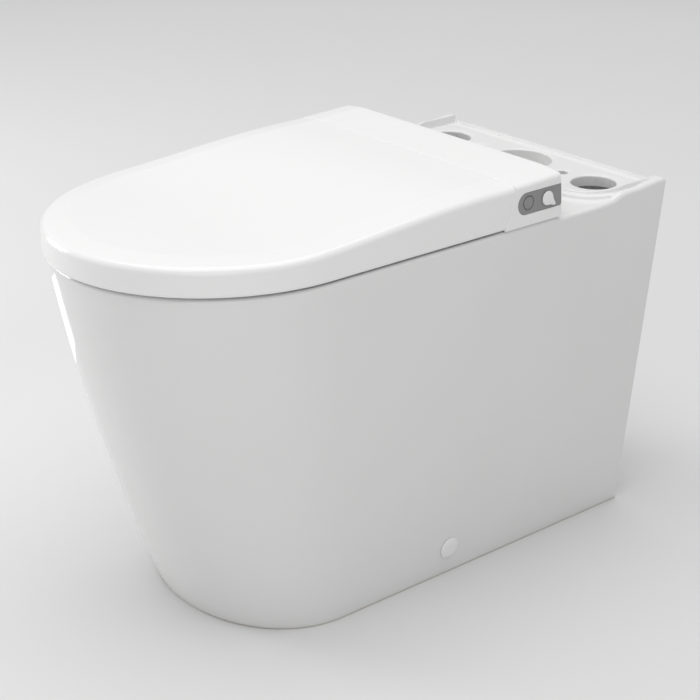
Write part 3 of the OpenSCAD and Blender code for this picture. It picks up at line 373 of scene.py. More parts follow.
def grainedPlastic(name, dark, pale, rough, grain=1500):
    # moulded with a fine grain; besides its random tone the colour is paler on the grain's high spots, a
    # painted highlight
    m = finish(name, IOR=1.49)
    fine = m.noise(grain, 2)
    return m.coat(m.noise(18, 3) * 0.7 + fine * 0.3, dark, pale, fine * 0.16 + rough,
                  (fine, 0.00003), (m.noise(40, 2), 0.00006))


def rubber():
    m = finish("softRubber", IOR=1.5)
    dust = m.between(m.noise(900, 3), 0.55, 0.8)
    return m.coat(dust, (0.50, 0.50, 0.49), (0.62, 0.62, 0.60), dust * 0.15 + 0.68,
                  (m.noise(700, 2), 0.00004))


def drawnMetal(name, dark, pale, rough, stretch):
    # fine lines from drawing or turning, with duller patches from handling
    m = finish(name, Metallic=1.0)
    lines, dull = m.noise(160, 3, stretch), m.between(m.noise(40, 3), 0.45, 0.75)
    return m.coat(lines * 0.7 + dull * 0.3, pale, dark, lines * 0.14 + dull * 0.1 + rough, (lines, 0.00002))


def heaterFilm():
    # printed heating tracks between two films
    m = finish("heaterFilm", IOR=1.5)
    wave = m.node("ShaderNodeTexWave", dict(wave_type="RINGS", rings_direction="Z"),
                  {"Vector": m.where, "Scale": 22.0, "Distortion": 1.2, "Detail": 1.0}, "Fac")
    track = m.between(wave, 0.55, 0.62)
    return m.coat(track, (0.55, 0.27, 0.07), (0.28, 0.20, 0.16), 0.34 - track * 0.12, (track, 0.00003))


def circuitBoard():
    # laminate with pale tracks, and dark parts that stand on it
    m = finish("greenBoard", IOR=1.5)
    cells = m.node("ShaderNodeTexBrick", {}, {"Vector": m.where, "Scale": 130.0, "Mortar Size": 0.035,
                                             "Brick Width": 0.9, "Row Height": 0.3}, "Fac")
    parts = m.between(m.height(), 0.43775, 0.43795)
    laminate = m.mix(cells, (0.02, 0.13, 0.05), (0.10, 0.26, 0.10))
    return m.coat(parts, laminate, m.mix(m.noise(90, 2), (0.02, 0.02, 0.025), (0.06, 0.06, 0.07)),
                  parts * 0.2 + m.noise(300, 2) * 0.1 + 0.3, (cells * (1 - parts), 0.00003))


finishes = dict(
    glazed_ceramic=ceramic(), white_gloss_plastic=glossPlastic(), soft_rubber=rubber(),
    white_matt_plastic=grainedPlastic("whiteMattPlastic", (0.70, 0.70, 0.69), (0.76, 0.76, 0.755), 0.38),
    grey_panel=grainedPlastic("greyPanel", (0.245, 0.245, 0.25), (0.285, 0.285, 0.29), 0.32, 2200),
    dark_plastic=grainedPlastic("darkPlastic", (0.045, 0.045, 0.047), (0.085, 0.085, 0.085), 0.4),
    amber_plastic=grainedPlastic("amberPlastic", (0.50, 0.34, 0.10), (0.64, 0.47, 0.18), 0.3, 900),
    tank_plastic=grainedPlastic("tankPlastic", (0.62, 0.58, 0.48), (0.74, 0.70, 0.60), 0.42, 600),
    steel=drawnMetal("brushedSteel", (0.46, 0.46, 0.47), (0.64, 0.64, 0.65), 0.22, (1, 0.05, 1)),
    brass=drawnMetal("turnedBrass", (0.56, 0.40, 0.18), (0.76, 0.58, 0.30), 0.2, (1, 1, 0.05)),
    heater_film=heaterFilm(), green_board=circuitBoard())
unglazedClayWithPaintedShade = rawClayWithPaintedShade()
print("materials", len(finishes) + 1)

# ceramic pan: one glazed casting, from the foot over the rim into the bowl and the trap
pan = dict(
    foot=dict(half=141.5, power=2.1, turn=452, front=571),
    rim=dict(half=180.5, power=2.0, turn=500, front=697),
    rimHeight=426, swell=13, wall=11, edge=5.0, footRound=1.2, ceiling=414, under=405, clear=440,
    shoulder=423.6, shoulderRise=11.4, riseFrom=118, rimFrom=177,
    deck=426.8, lipEdge=171, lipFront=113, lipCorner=51, lipHeight=9, lipFall=60, lipSlope=math.radians(6),
    ledge=(-9.5, 4), bead=(-5.5, 4.5), lipRise=(-0.9, 1.6), crest=3.2, lipInside=(6.4, -2.6),
    backLip=4, backFall=(7.6, -2.6), beadHeight=0.5, rimBlend=9, noseSteps=72, levels=26,
    web=[(0.6, 418), (9, 418), (9, 358), (7.5, 354), (5, 352.6), (2.5, 353.4), (0.6, 356)], webHalf=172)


def panOutline(z, inset, rear=0.0):
    # points run from the wall along the right side, round the front and back, then across the rear;
    # z may differ by point
    side = np.r_[0, 0.9, 2, 4, 6.5, 9, 13, 18, 24, 30, 37, 44, 52:101:8, 110, 120, 132, 145, 158, 168,
                 174:187:4, 192, 205, 230, 260:381:40]
    side = rear + inset + side * (1 - (rear + inset) / side[-1])
    t = np.linspace(0, math.pi, 2 * pan["noseSteps"] + 1)
    near = np.r_[145, 152, 157, 161, 163.5, 165:173, 174:179:2]
    across = np.concatenate([-near[::-1], np.arange(-138, 139, 6), near]) / pan["rim"]["half"]
    m, n, last = len(side), len(t), len(across)
    z = np.broadcast_to(np.asarray(z, float), (2 * m + n + last,))
    k = z / pan["rimHeight"]
    mix = {key: pan["foot"][key] + (pan["rim"][key] - pan["foot"][key]) * k for key in pan["rim"]}
    front = mix["front"] + 4 * pan["swell"] * k * (1 - k) - inset
    half = mix["half"] - inset
    nose = slice(m, m + n)
    turn, power = mix["turn"][nose], mix["power"][nose]
    x = np.concatenate([half[:m], half[nose] * signedPower(np.cos(t), power), -half[m + n:-last],
                        half[-last:] * across])
    d = np.concatenate([side, turn + (front[nose] - turn) * signedPower(np.sin(t), power), side[::-1],
                        np.full(last, side[0])])
    return np.column_stack([x, d, z])


def lipDistance(x, d):
    # how far a point lies inside the lip's outer line: straight sides and round front corners
    ax = np.abs(x)
    cx, cd = pan["lipEdge"] - pan["lipCorner"], pan["lipFront"] - pan["lipCorner"]
    return np.where((ax > cx) & (d > cd), pan["lipCorner"] - np.hypot(ax - cx, d - cd),
                    np.minimum(pan["lipEdge"] - ax, pan["lipFront"] - d))


def panTop(x, d):
    # height of the pan's upper side: rim, shoulder, double lip and recessed deck; the ramps give where
    # each step of the lip's section starts and how long it is, inside the lip's outer line
    p, deck, inside = pan, pan["deck"], lipDistance(x, d)
    shoulder = p["shoulder"] + p["shoulderRise"] * ease(d, p["riseFrom"], -p["riseFrom"])
    lip = deck + p["lipHeight"] - np.maximum(0, d - p["lipFall"]) * math.tan(p["lipSlope"])
    bead = p["beadHeight"] * np.sin(np.pi * ramp(inside, *p["bead"]))
    ledge = np.maximum((deck + lip) / 2, shoulder) + bead
    outside = shoulder + (ledge - shoulder) * ease(inside, *p["ledge"])
    z = outside + (lip - outside) * ease(inside, *p["lipRise"])
    back = p["backLip"] * ease(d, *p["backFall"])
    z = np.where(inside > p["crest"], deck + np.maximum((lip - deck) * ease(inside, *p["lipInside"]), back), z)
    return z + (p["rimHeight"] - z) * ease(d, p["rimFrom"], p["rimBlend"])


def panTopPoints():
    # points that carry the upper side: lines that follow the lip, then rows across
    inner = []
    cx, cd = pan["lipEdge"] - pan["lipCorner"], pan["lipFront"] - pan["lipCorner"]
    side, across = np.arange(5.0, cd, 5.0), np.arange(0, cx, 8.0)[::-1]
    for off in (16, 12, 9.5, 8, 7, 6.4, 5.8, 5.2, 4.6, 4, 3.4, 3, 2, 1.2, 0.7, 0.3, -0.1, -0.5, -0.9, -1.6,
                -2.6, -3.6, -4.6, -5.4, -6.2, -7, -7.8, -8.6, -9.5, -12, -18, -26, -38):
        r = pan["lipCorner"] - off
        line = np.vstack([lead(cx + r, side), arc(cx, cd, r, 0, rightAngle, 34), trail(across, cd + r)])
        inner += [line, line * [-1, 1]]
    rows = (20, 40, 60, 80, 100, 165, 176, 178, 180, 182, 184, 187, 215, 260, 320, 400, 480, 560, 630)
    inner += [trail(np.arange(-163, 164, 6.0), d) for d in (4.6, 5.2, 5.8, 6.4, 7, 7.6, 8.4, 9.6)]
    inner += [trail(np.arange(-170, 171, 10.0), d) for d in rows]
    inner = np.vstack(inner)
    return inner[insideLoop(inner, panOutline(pan["rimHeight"], pan["edge"] + 1.0)[:, :2])]


# bowl, trap and flush way inside the pan
bowl = dict(mouth=128, front=655, rear=326, low=40, lowFront=470, lowRear=372, floor=44, middle=470,
            power=2.25, wall=9, steps=96, levels=30, edge=6, sump=12, edgeFrom=0.984, edgeHeight=420)
trap = dict(radius=29, wall=7, start=86, bend=65, rise=math.radians(55), fall=math.radians(20), drop=20,
            out=185)
spigot = dict(radius=51, wall=9, inner=112, outer=14)
flush = dict(radius=22, wall=6, height=318, bend=45, funnel=36, inlet=40, row=58, round=2.5)
# radius, place across and edge round of the service holes and of the cistern's bolt holes
deckHoles = [(26.5, 121.7, 2.2), (7, 72, 1.0)]
well = dict(half=118, front=306, rear=192, floor=360, wall=8, top=416, channel=72, channelEnd=386,
            bolt=6, boltAt=148, boltRow=214.5)
# the side bolt's axis leans with the pan's wall
sideBolt = dict(across=144.66, depth=294.4, height=34.5,
                lean=math.atan((pan["rim"]["half"] - pan["foot"]["half"]) / pan["rimHeight"]))


def bowlRing(k, out, z=None):
    half = bowl["low"] + (bowl["mouth"] - bowl["low"]) * k ** 0.62 + out
    front = bowl["lowFront"] + (bowl["front"] - bowl["lowFront"]) * k ** 0.6 + out
    low = (bowl["lowFront"] + bowl["lowRear"]) / 2
    middle = low + (bowl["middle"] - low) * k ** 0.8
    rear = bowl["lowRear"] + (bowl["rear"] - bowl["lowRear"]) * k ** 0.8 - out
    height = bowl["floor"] + (pan["rimHeight"] - bowl["floor"]) * k if z is None else z
    return trail(egg(bowl["steps"], half, front, middle, rear, bowl["power"]), height)


def trapPath(first):
    # depth, height and heading; the path runs towards the wall, so depth falls
    bend, rise, fall, drop = trap["bend"], trap["rise"], trap["fall"], trap["drop"]

    def turn(d, z, start, end, steps):
        s = math.copysign(bend, end - start)
        return [(d - s * (math.sin(a) - math.sin(start)), z - s * (math.cos(a) - math.cos(start)), a)
                for a in np.linspace(start, end, steps + 1)]

    climb = trap["out"] - trap["start"] - 2 * bend * (math.cos(fall) - math.cos(rise)) + drop * math.sin(fall)
    leg = climb / math.sin(rise)
    path = [(first, trap["start"], 0.0)] + turn(bowl["lowRear"] - 20, trap["start"], 0, rise, 14)
    d, z = path[-1][:2]
    path += turn(d - leg * math.cos(rise), z + leg * math.sin(rise), rise, -fall, 18)
    d, z = path[-1][:2]
    return path + turn(d - drop * math.cos(fall), z - drop * math.sin(fall), -fall, 0, 6)


def flushPath(first, last):
    b, row, z = flush["bend"], flush["row"], flush["height"]
    bend = [(row + b * (1 - math.sin(a)), z + b * (1 - math.cos(a)), a)
            for a in np.linspace(0, rightAngle, 16)]
    return [(first, z, 0.0)] + bend + [(row, last, rightAngle)]


def mouth(radius, e):
    # the round edge of a hole in the deck, as heights and radii
    foot = pan["deck"] - e
    line = [(foot + e * math.sin(a) + 0.03, radius + e * (1 - math.cos(a)))
            for a in np.linspace(0, math.radians(82), 6)]
    return line + [(pan["clear"], line[-1][1])]


def atBolt(name, side, profile, steps):
    # turned round a side bolt's axis; the profile holds distances out of the wall and radii
    b = sideBolt
    c, s = circle(steps)
    tilt, upright = math.sin(b["lean"]), math.cos(b["lean"])
    return loft(name, [np.column_stack([side * (b["across"] + out * upright + r * c * tilt), b["depth"] + r * s,
                                        b["height"] - out * tilt + r * c * upright])
                       for out, r in profile])


def panBlock():
    edge, foot = pan["edge"], pan["footRound"]
    probe = panOutline(pan["rimHeight"], edge + 0.2)
    crest = panTop(probe[:, 0], probe[:, 1])
    rings = [panOutline(foot * a, foot * b) for a, b in quarter(4)[:-1]]
    rings += [panOutline(foot + (crest - edge - foot) * k, 0) for k in np.linspace(0, 1, pan["levels"])]
    rings += [panOutline(crest - edge * b, edge * a) for a, b in quarter(8)[1:]]
    return loft("panBody", rings, 0, fillLoop(rings[-1], panTopPoints(), panTop))


def dressPan():
    body = panBlock()
    wall, clear, ceiling = pan["wall"], pan["clear"], pan["ceiling"]
    # the hollow under the deck and the outsides of bowl, well, trap and flush way take the darkened clay:
    # painted shade
    cut(body, loft("cavity", [panOutline(z, wall, -6.0 - wall) for z in np.linspace(-4, ceiling, 16)], 1))
    add(body, slab("backWeb", pan["web"], -pan["webHalf"], pan["webHalf"], 1))  # closes the open back behind the service holes with a sheet of the darkened clay, painted shade seen through them
    rings = [bowlRing(0, 1, bowl["floor"] - bowl["wall"])]
    rings += [bowlRing(k, bowl["wall"]) for k in np.linspace(0, 0.98, bowl["levels"])]
    add(body, loft("bowlOuter", rings, 1))
    w, t = well, well["wall"]
    add(body, box("wellOuter", (-w["half"] - t, w["half"] + t), (w["rear"] - t, w["front"] + t),
                  (w["floor"] - t, w["top"]), 1))
    inner, outer, out = spigot["inner"], spigot["outer"], (0, trap["out"])
    add(body, tube("trapOuter", trapPath(bowl["lowRear"] - 4) + [(outer + 60, trap["out"], 0.0)],
                   trap["radius"] + trap["wall"], 1))
    add(body, rod("spigotOuter", 1, inner, outer, spigot["radius"], out, 1, 64))
    small, wide = flush["radius"] + flush["wall"], flush["inlet"] + flush["wall"]
    add(body, tube("flushOuter", flushPath(bowl["rear"] + 4, 396), small, 1))
    low, row = ceiling - flush["funnel"], flush["row"]
    add(body, turned("funnelOuter", 2, [(low, small), (ceiling, wide), (ceiling + 3, wide)], (0, row), 1, 64))

    r, k0, z0 = bowl["edge"], bowl["edgeFrom"], bowl["edgeHeight"]
    sump, low0 = bowl["sump"], bowl["floor"] - 1
    rings = [bowlRing(0, -sump * b, low0 + sump * a) for a, b in quarter(6, 0.15)]
    rings += [bowlRing(k, 0) for k in np.linspace(0.04, k0, bowl["levels"])]
    rings += [bowlRing(k0 + (1 - k0) * math.sin(a), r * (1 - math.cos(a)), z0 + r * math.sin(a) + 0.03)
              for a in np.linspace(0.2, math.radians(84), 7)]
    rings.append(trail(rings[-1][:, :2], clear))
    cut(body, loft("bowlInner", rings))
    path = trapPath(bowl["lowRear"] + 60) + [(inner - 4, trap["out"], 0.0)]
    cut(body, tube("trapInner", path, trap["radius"]))
    cut(body, rod("spigotInner", 1, inner - 8, outer - 5, spigot["radius"] - spigot["wall"], out, steps=64))
    cut(body, tube("flushInner", flushPath(bowl["rear"] + 60, 400), flush["radius"]))
    e = flush["round"]
    throat = [(low - 1, flush["radius"]), (ceiling, flush["inlet"]), (pan["deck"] - e, flush["inlet"])]
    cut(body, turned("inletHole", 2, throat + mouth(flush["inlet"], e), (0, row), steps=96))
    for side in (-1, 1):
        for radius, x, e in deckHoles:
            foot, at = pan["deck"] - e, (side * x, row)
            hole = [(pan["under"], radius), (foot - 0.5, radius), (clear, radius)]
            # the hole's wall below its glazed mouth takes the darkened clay: painted shade
            cut(body, turned("hole", 2, hole, at, 1))
            glazed = [(foot - 0.5, radius - 0.02), (foot, radius)] + mouth(radius, e)
            cut(body, turned("holeMouth", 2, glazed, at))
        at = side * w["boltAt"], w["boltRow"]
        cut(body, rod("unitBoltHole", 2, pan["under"], clear, w["bolt"], at, steps=32))
    cut(body, box("wellInner", (-w["half"], w["half"]), (w["rear"], w["front"]), (w["floor"], clear)))
    cut(body, box("channel", (-w["channel"], w["channel"]), (w["rear"] + 20, w["channelEnd"]),
                  (w["floor"] + 2, clear)))
    for side in (-1, 1):
        for radius, depth in ((10, 6), (6.5, 20)):
            cut(body, atBolt("boltWay", side, [(-depth, radius), (6, radius)], 48))
    return finished(body, "pan", "glazed_ceramic", "pan_skirt", "pan_rim", "pan_bowl", "pan_deck",
                    "unit_well", "trapway", "outlet_spigot", "flush_channel")


# hinge and seam: the lid's tail turns on a round that ends in a plane down to the seam's foot
hinge = dict(depth=267, height=469, tail=18.12, bore=2.36, lug=4.6)
seam = dict(footDepth=262, footHeight=426.6, gap=0.16, grooveWide=1.8, grooveDeep=0.75)


def seamLine(extra):
    near, down = hinge["depth"] - seam["footDepth"], seam["footHeight"] - hinge["height"]
    touch = math.atan2(down, near) + math.acos(hinge["tail"] / math.hypot(near, down))
    r = hinge["tail"] + extra
    line = [(hinge["depth"] - r * math.cos(a), hinge["height"] + r * math.sin(a))
            for a in np.linspace(rightAngle, touch, 25)]
    run = near - hinge["tail"] * math.cos(touch), down - hinge["tail"] * math.sin(touch)
    return line + [(line[-1][0] - 1.5 * run[0], line[-1][1] + 1.5 * run[1])]


def cutAtSeam(piece, extra, to):
    # takes off all that lies between the seam's line and a depth
    line = seamLine(extra)
    cut(piece, slab("beyondSeam", line + [(to, line[-1][1]), (to, 620), (hinge["depth"], 620)], -200, 200))


def addLugs(piece, shape, line):
    # a lug left and right, each with a bore for its hinge pin
    near, far, at = shape["lugAt"], shape["lugAt"] + shape["lugWidth"], (hinge["depth"], hinge["height"])
    for x0, x1 in ((-far, -near), (near, far)):
        add(piece, slab("lug", line, x0, x1))
        cut(piece, rod("bore", 0, x0 - 1, x1 + 1, hinge["bore"], at, steps=48))


def cutSeamGroove(piece):
    # a fine V along the seam: down both sides, and over the top from one side to the other
    wide, deep, middle, edge = seam["grooveWide"] / 2, seam["grooveDeep"], seam["gap"] / 2, 5.8
    for side in (-1, 1):
        rings = []
        for x, half in ((unit["half"] - deep, 0.03), (unit["half"] + 0.25, wide + 0.25)):
            rings.append(lead(side * x, np.array(seamLine(middle - half) + seamLine(middle + half)[::-1])))
        cut(piece, loft("groove", rings))
    reach = np.array([149, 153, 158, 163, 168, 172, 174.5, 176.5, 178, 179.2, 180.2, 180.9, 181.3])
    d = hinge["depth"] - math.sqrt((hinge["tail"] + middle) ** 2 - (unit["top"] - hinge["height"]) ** 2)
    rings = []
    for x in np.concatenate([-reach[::-1], reach]):
        over = max(0.0, abs(x) - (unit["half"] - edge))
        top = float(unitTop(x, unit["seamAt"])) - edge + math.sqrt(max(0.0, edge ** 2 - over ** 2))
        rings.append([(x, d - wide * 1.3, top + 0.15), (x, d + wide * 1.3, top + 0.15), (x, d, top - deep)])
    cut(piece, loft("grooveOver", np.array(rings)))


# lid: a thin shell with a soft edge, low and flat in front, rising to a crown before the seam
lid = dict(half=181.2, power=1.98, turn=506, front=702, low=428.0, skin=3, edge=6.6, innerEdge=3.4,
           lowEdge=3.0, rim=426, frontHeight=36, crownHeight=51.2, seamHeight=51.5, riseFrom=577, crownAt=280,
           seamAt=251, bevel=3.7, bevelWide=32, lugAt=148, lugWidth=13, steps=64, columns=44)


def bevelDrop(inset):
    # the tops of lid and unit fall gently over the last stretch before their edges
    return lid["bevel"] * np.clip(1 - inset / lid["bevelWide"], 0, 1) ** 1.25


def lidHeight(d):
    crown, length = lid["crownHeight"], lid["crownAt"] - lid["seamAt"]
    rise = (1 - np.cos(np.pi * np.clip((lid["riseFrom"] - d) / (lid["riseFrom"] - lid["crownAt"]), 0, 1))) / 2
    front = lid["frontHeight"] + (crown - lid["frontHeight"]) * rise
    rear = crown + (lid["seamHeight"] - crown) * ((lid["crownAt"] - d) / length) ** 2
    return lid["rim"] + np.where(d > lid["crownAt"], front, rear)


def lidRing(inset, drop=None, height=None):
    side = np.array([234, 239, 243, 246, 249, 251, 253, 256, 260, 266, 273, 281, 290, 301, 314, 330, 348, 368,
                     390, 412, 434, 456, 476, 492], float)
    line = noseLine(lid, inset, lid["steps"])
    line = np.vstack([lead(line[0, 0], side), line, lead(line[-1, 0], side[::-1])])
    if height is not None:
        return trail(line, height)
    return np.column_stack([line, lidHeight(line[:, 1]) - bevelDrop(inset) - drop])


def dressLid():
    foot, low, e = lid["low"], lid["lowEdge"], lid["edge"]
    rings = [lidRing(low + 1.2, height=foot)]
    rings += [lidRing(low * b, height=foot + low * a) for a, b in quarter(5)]
    for k in np.linspace(0.03, 0.985, 7):
        ring = lidRing(0, drop=e)
        ring[:, 2] = foot + low + (ring[:, 2] - foot - low) * k
        rings.append(ring)
    rings += [lidRing(e * a, drop=e * b) for a, b in quarter(10)]
    rings += [lidRing(inset, drop=0) for inset in (8, 10, 12.5, 15.5, 19, 22.5, 26, 29, 31, 33, 36)]
    shell = loft("lidShell", rings, 0, gridTop(rings[-1], lid["columns"], lidHeight))
    t, e = lid["skin"], lid["innerEdge"]
    rings = [lidRing(t, height=foot - 6), lidRing(t, height=foot + 8)]
    rings += [lidRing(t + e * a, drop=t + e * b) for a, b in quarter(6)]
    rings += [lidRing(inset, drop=t) for inset in (10, 14, 19, 25, 30, 34)]
    cut(shell, loft("lidHollow", rings, 0, gridTop(rings[-1], lid["columns"], lambda d: lidHeight(d) - t)))
    cutAtSeam(shell, 0, 100)
    d, r = hinge["depth"], hinge["lug"]
    top = float(lidHeight(np.array(d))) - t + 0.8
    foot = arc(d, hinge["height"], r, math.pi, 2 * math.pi, 21)
    addLugs(shell, lid, np.vstack([foot, [(d + r, top), (d - r, top)]]))
    cutSeamGroove(shell)
    return finished(shell, "lid", "white_gloss_plastic", "lid")


# washing unit's casing behind the seam, with the pocket of the side panel and two ports in its back
unit = dict(half=181.2, foot=426.6, rear=174.5, lean=4.5, top=477.5, rearTop=480.2, seamAt=251, skin=2.5,
            edge=5.0, rearEdge=2.0, corner=1.8, ports=[(-140.2, 452, 10.5), (150.2, 452, 7.3)],
            blockWay=[(286, 420.6), (286, 457.4), (254.3, 457.4), (246.5, 420.6)])
panel = dict(front=244.5, height=25, centre=452.2, face=180.8, back=176.5, edge=0.6, lowCorner=2.2,
             highCorner=0.8, buttonAt=227.7, cup=9.6, cupBore=7.9, groove=8.6, grooveDeep=1.3, buttonHole=7.2,
             knobAt=199.5, knobHole=3.56)


def unitHeight(d):
    rise = unit["rearTop"] - unit["top"]
    return unit["top"] + rise * ramp(d, unit["seamAt"], unit["rear"] + unit["lean"] - unit["seamAt"])


def unitTop(x, d):
    return unitHeight(d) - bevelDrop(unit["half"] - np.abs(x))


def unitRear(z):
    return unit["rear"] + unit["lean"] * (z - unit["foot"]) / (unit["rearTop"] - unit["foot"])


def unitRing(inward, down, z=None):
    # inward and down follow the round that leads from the walls over to the top
    side = np.array([276, 268, 260, 252, 244, 234, 222, 208, 194, 184], float)
    across = np.linspace(1, -1, 33)[1:-1]
    half = unit["half"] - unit["edge"] * inward
    c = max(0.6, unit["corner"] - unit["rearEdge"] * inward)
    rear = unitRear(unit["rearTop"] - unit["rearEdge"] * down if z is None else z) + unit["rearEdge"] * inward
    corner = arc(half - c, rear + c, c, 0, -rightAngle, 9)
    right = np.vstack([lead(half, side), corner])
    line = np.vstack([right, trail(across * (half - c), rear), right[::-1] * [-1, 1]])
    if z is not None:
        return trail(line, z)
    wide, fine = unit["edge"], unit["rearEdge"]
    edge = np.concatenate([np.full(len(side), wide), np.linspace(wide, fine, len(corner))])
    edge = np.concatenate([edge, np.full(len(across), fine), edge[::-1]])
    return np.column_stack([line, unitTop(line[:, 0], line[:, 1]) - edge * down])


def pill(extra):
    # side view of the panel: round in front, straight to past the unit's rear face
    r, middle = panel["height"] / 2 + extra, panel["centre"]
    d, end = panel["front"] - panel["height"] / 2, unit["rear"] - 5
    front = arc(d, middle, r, -rightAngle, rightAngle, 33)
    return np.vstack([front, [(end, middle + r), (end, middle - r)]])


def dressUnit():
    rings = [unitRing(0, 1, unit["foot"] + z) for z in [0, 0.4, *np.linspace(2, 41.5, 9)]]
    rings += [unitRing(a, b) for a, b in quarter(10)]
    near = np.array([149, 151, 154, 158, 162, 166, 170, 173.5])
    columns = np.concatenate([-near[::-1], np.linspace(-141, 141, 15), near])
    grid = np.array([(x, d) for d in (181.5, 184, 188, 194, 202, 212, 222, 232, 240, 246, 251, 258, 268)
                     for x in columns])
    grid = grid[insideLoop(grid, rings[-1][:, :2])]
    shell = loft("unitShell", rings, 0, fillLoop(rings[-1], grid, unitTop))
    t, low, half = unit["skin"], unit["foot"] - 6, unit["half"]
    for ceiling, wall in ((unit["top"] - 5.5, t + 4), (unit["top"] - 12, t)):  # narrower under the bevel
        front = [p for p in seamLine(seam["gap"] + t) if p[1] < ceiling]
        r = hinge["tail"] + seam["gap"] + t
        start = hinge["depth"] - math.sqrt(r * r - (ceiling - hinge["height"]) ** 2)
        hollow = [(unitRear(low) + t, low), (unitRear(ceiling) + t, ceiling - 2), (start, ceiling)] + front
        cut(shell, slab("unitHollow", hollow, -half + wall, half - wall))
    cut(shell, slab("blockWay", unit["blockWay"], -half + t, half - t))
    cutAtSeam(shell, seam["gap"], 300)
    cut(shell, slab("panelPocket", pill(0.2), panel["back"] - 0.2, 190))
    for x, z, r in unit["ports"]:
        cut(shell, rod("port", 1, 190, 165, r, (x, z), steps=48))
    cutSeamGroove(shell)
    return finished(shell, "pan", "white_gloss_plastic", "unit_cover")


# seat: a rounded ring, a little lower towards its opening
seat = dict(half=174.2, power=2.09, turn=506, front=696, rear=288, corner=12, low=431, height=20, dish=2.2,
            holeHalf=108, holePower=2.2, holeFront=628, holeRear=338, holeMiddle=473, holeRound=9.5,
            outerRound=6.5, stations=280, lugAt=116, lugWidth=13, lugFoot=(290, 445), lugRadii=(4.8, 4.5))


def aroundCentre(line, angles):
    # where rays from the middle of the seat's opening meet a closed line
    p = line - [0, seat["holeMiddle"]]
    a = np.arctan2(p[:, 1], p[:, 0]) % (2 * math.pi)
    order = np.argsort(a)
    a, r = a[order], np.hypot(p[:, 0], p[:, 1])[order]
    return np.interp(angles, np.concatenate([a - 2 * math.pi, a, a + 2 * math.pi]), np.tile(r, 3))


def dressSeat():
    s, c = seat, seat["corner"]
    corner = arc(s["half"] - c, s["rear"] + c, c, -rightAngle, 0, 40)
    up = lead(s["half"], np.linspace(s["rear"] + c, s["turn"], 120))
    rear = trail(np.linspace(-1, 1, 200) * (s["half"] - c), s["rear"])
    outer = np.vstack([rear, corner, up, noseLine(s, 0, 300), (up * [-1, 1])[::-1], (corner * [-1, 1])[::-1]])
    middle = (s["holeFront"] + s["holeRear"]) / 2 - 10
    hole = egg(1200, s["holeHalf"], s["holeFront"], middle, s["holeRear"], s["holePower"])
    walk = np.concatenate([[0], np.cumsum(np.hypot(*np.diff(outer, axis=0).T))])
    at = np.linspace(0, walk[-1], s["stations"], endpoint=False)
    x, d = (np.interp(at, walk, outer[:, k]) for k in (0, 1))
    angles = np.unique(np.arctan2(d - s["holeMiddle"], x) % (2 * math.pi))
    near, far = aroundCentre(hole, angles), aroundCentre(outer, angles)
    top, dish, inside, outside = s["height"], s["dish"], s["holeRound"], s["outerRound"]
    # the section runs from under the opening's edge over the top to under the outer edge
    section = [(near + off, z) for off, z in ((3.0, 0), (1.6, 0), (0.5, 0.5), (0, 1.6), (0, 8))]
    section += [(near + inside * a, top - dish - 9 * b) for a, b in quarter(8, 0.1)]
    section += [(near + inside + (far - outside - near - inside) * k, top - dish * (1 - ease(k * 1.15)))
                for k in (0.25, 0.4, 0.55, 0.7, 0.85)]
    section += [(far - outside * a, top - outside * b) for a, b in quarter(8)[::-1]]
    section += [(far - off, z) for off, z in ((0, 3), (0, 1.6), (0.5, 0.5), (1.6, 0), (3.0, 0))]
    rings = [trail(np.column_stack([r * np.cos(angles), s["holeMiddle"] + r * np.sin(angles)]), s["low"] + z)
             for r, z in section]
    ring = loft("seatRing", rings, 0, hoop=True)
    (d0, z0), (d1, z1), (r0, r1) = (hinge["depth"], hinge["height"]), s["lugFoot"], s["lugRadii"]
    lean = math.atan2(z1 - z0, d1 - d0)
    addLugs(ring, s, np.vstack([arc(d0, z0, r0, lean + rightAngle, lean + 3 * rightAngle, 25),
                                arc(d1, z1, r1, lean - rightAngle, lean + rightAngle, 15)]))
    return finished(ring, "seat", "white_gloss_plastic", "seat_top", "seat_bottom")


for dress in (dressPan, dressLid, dressUnit, dressSeat):
    piece = dress()
    print(piece.name, len(piece.data.polygons), "faces")


# side panel: a satin plate with a round front, a sunk ring round the button and the knob's shaft hole
def panelLine(extra):
    r, middle = panel["height"] / 2 + extra, panel["centre"]
    d = panel["front"] - panel["height"] / 2
    line = [arc(d, middle, r, -rightAngle, rightAngle, 41)]
    for radius, edge, inward, start in ((panel["highCorner"], middle + r, -1, rightAngle),
                                        (panel["lowCorner"], middle - r, 1, math.pi)):
        z = edge + inward * radius
        line.append(arc(unitRear(z) - extra + radius, z, radius, start, start + rightAngle, 9))
    return np.vstack(line)


def dressPanel():
    p, e = panel, 0.35
    face, edge = p["face"], p["edge"]
    rings = [lead(face - edge * b, panelLine(-edge * a)) for a, b in quarter(6)]
    plate = loft("sidePanel", [lead(p["back"], panelLine(0))] + rings)
    behind = [(max(d, unitRear(z) + 2.8), z) for d, z in pill(2.5)]
    add(plate, slab("panelFlange", behind, p["back"], 178.5))
    at = p["buttonAt"], p["centre"]
    add(plate, rod("buttonCup", 0, 165.5, 177, p["cup"], at))
    cut(plate, rod("cupInside", 0, 167, 177.9, p["cupBore"], at))
    cut(plate, rod("buttonHole", 0, 170, 185, p["buttonHole"], at))
    wide = p["groove"] + e
    cut(plate, turned("buttonRing", 0, [(face - p["grooveDeep"], p["groove"]), (face - e, p["groove"]),
                                        (face + 0.02, wide), (face + 2, wide)], at))
    cut(plate, rod("knobHole", 0, 170, 185, p["knobHole"], (p["knobAt"], p["centre"]), steps=40))
    return finished(plate, "pan", "grey_panel", "side_panel")


button = dict(radius=6.95, face=180.6, collar=7.55, dish=0.22, edge=0.7)
knob = dict(radius=8, tip=13.5, tipRadius=1.6, turned=math.radians(-37.5), foot=181.4, face=183.2, crown=0.35,
            edge=0.7, hollow=8.8, shaft=3.44)


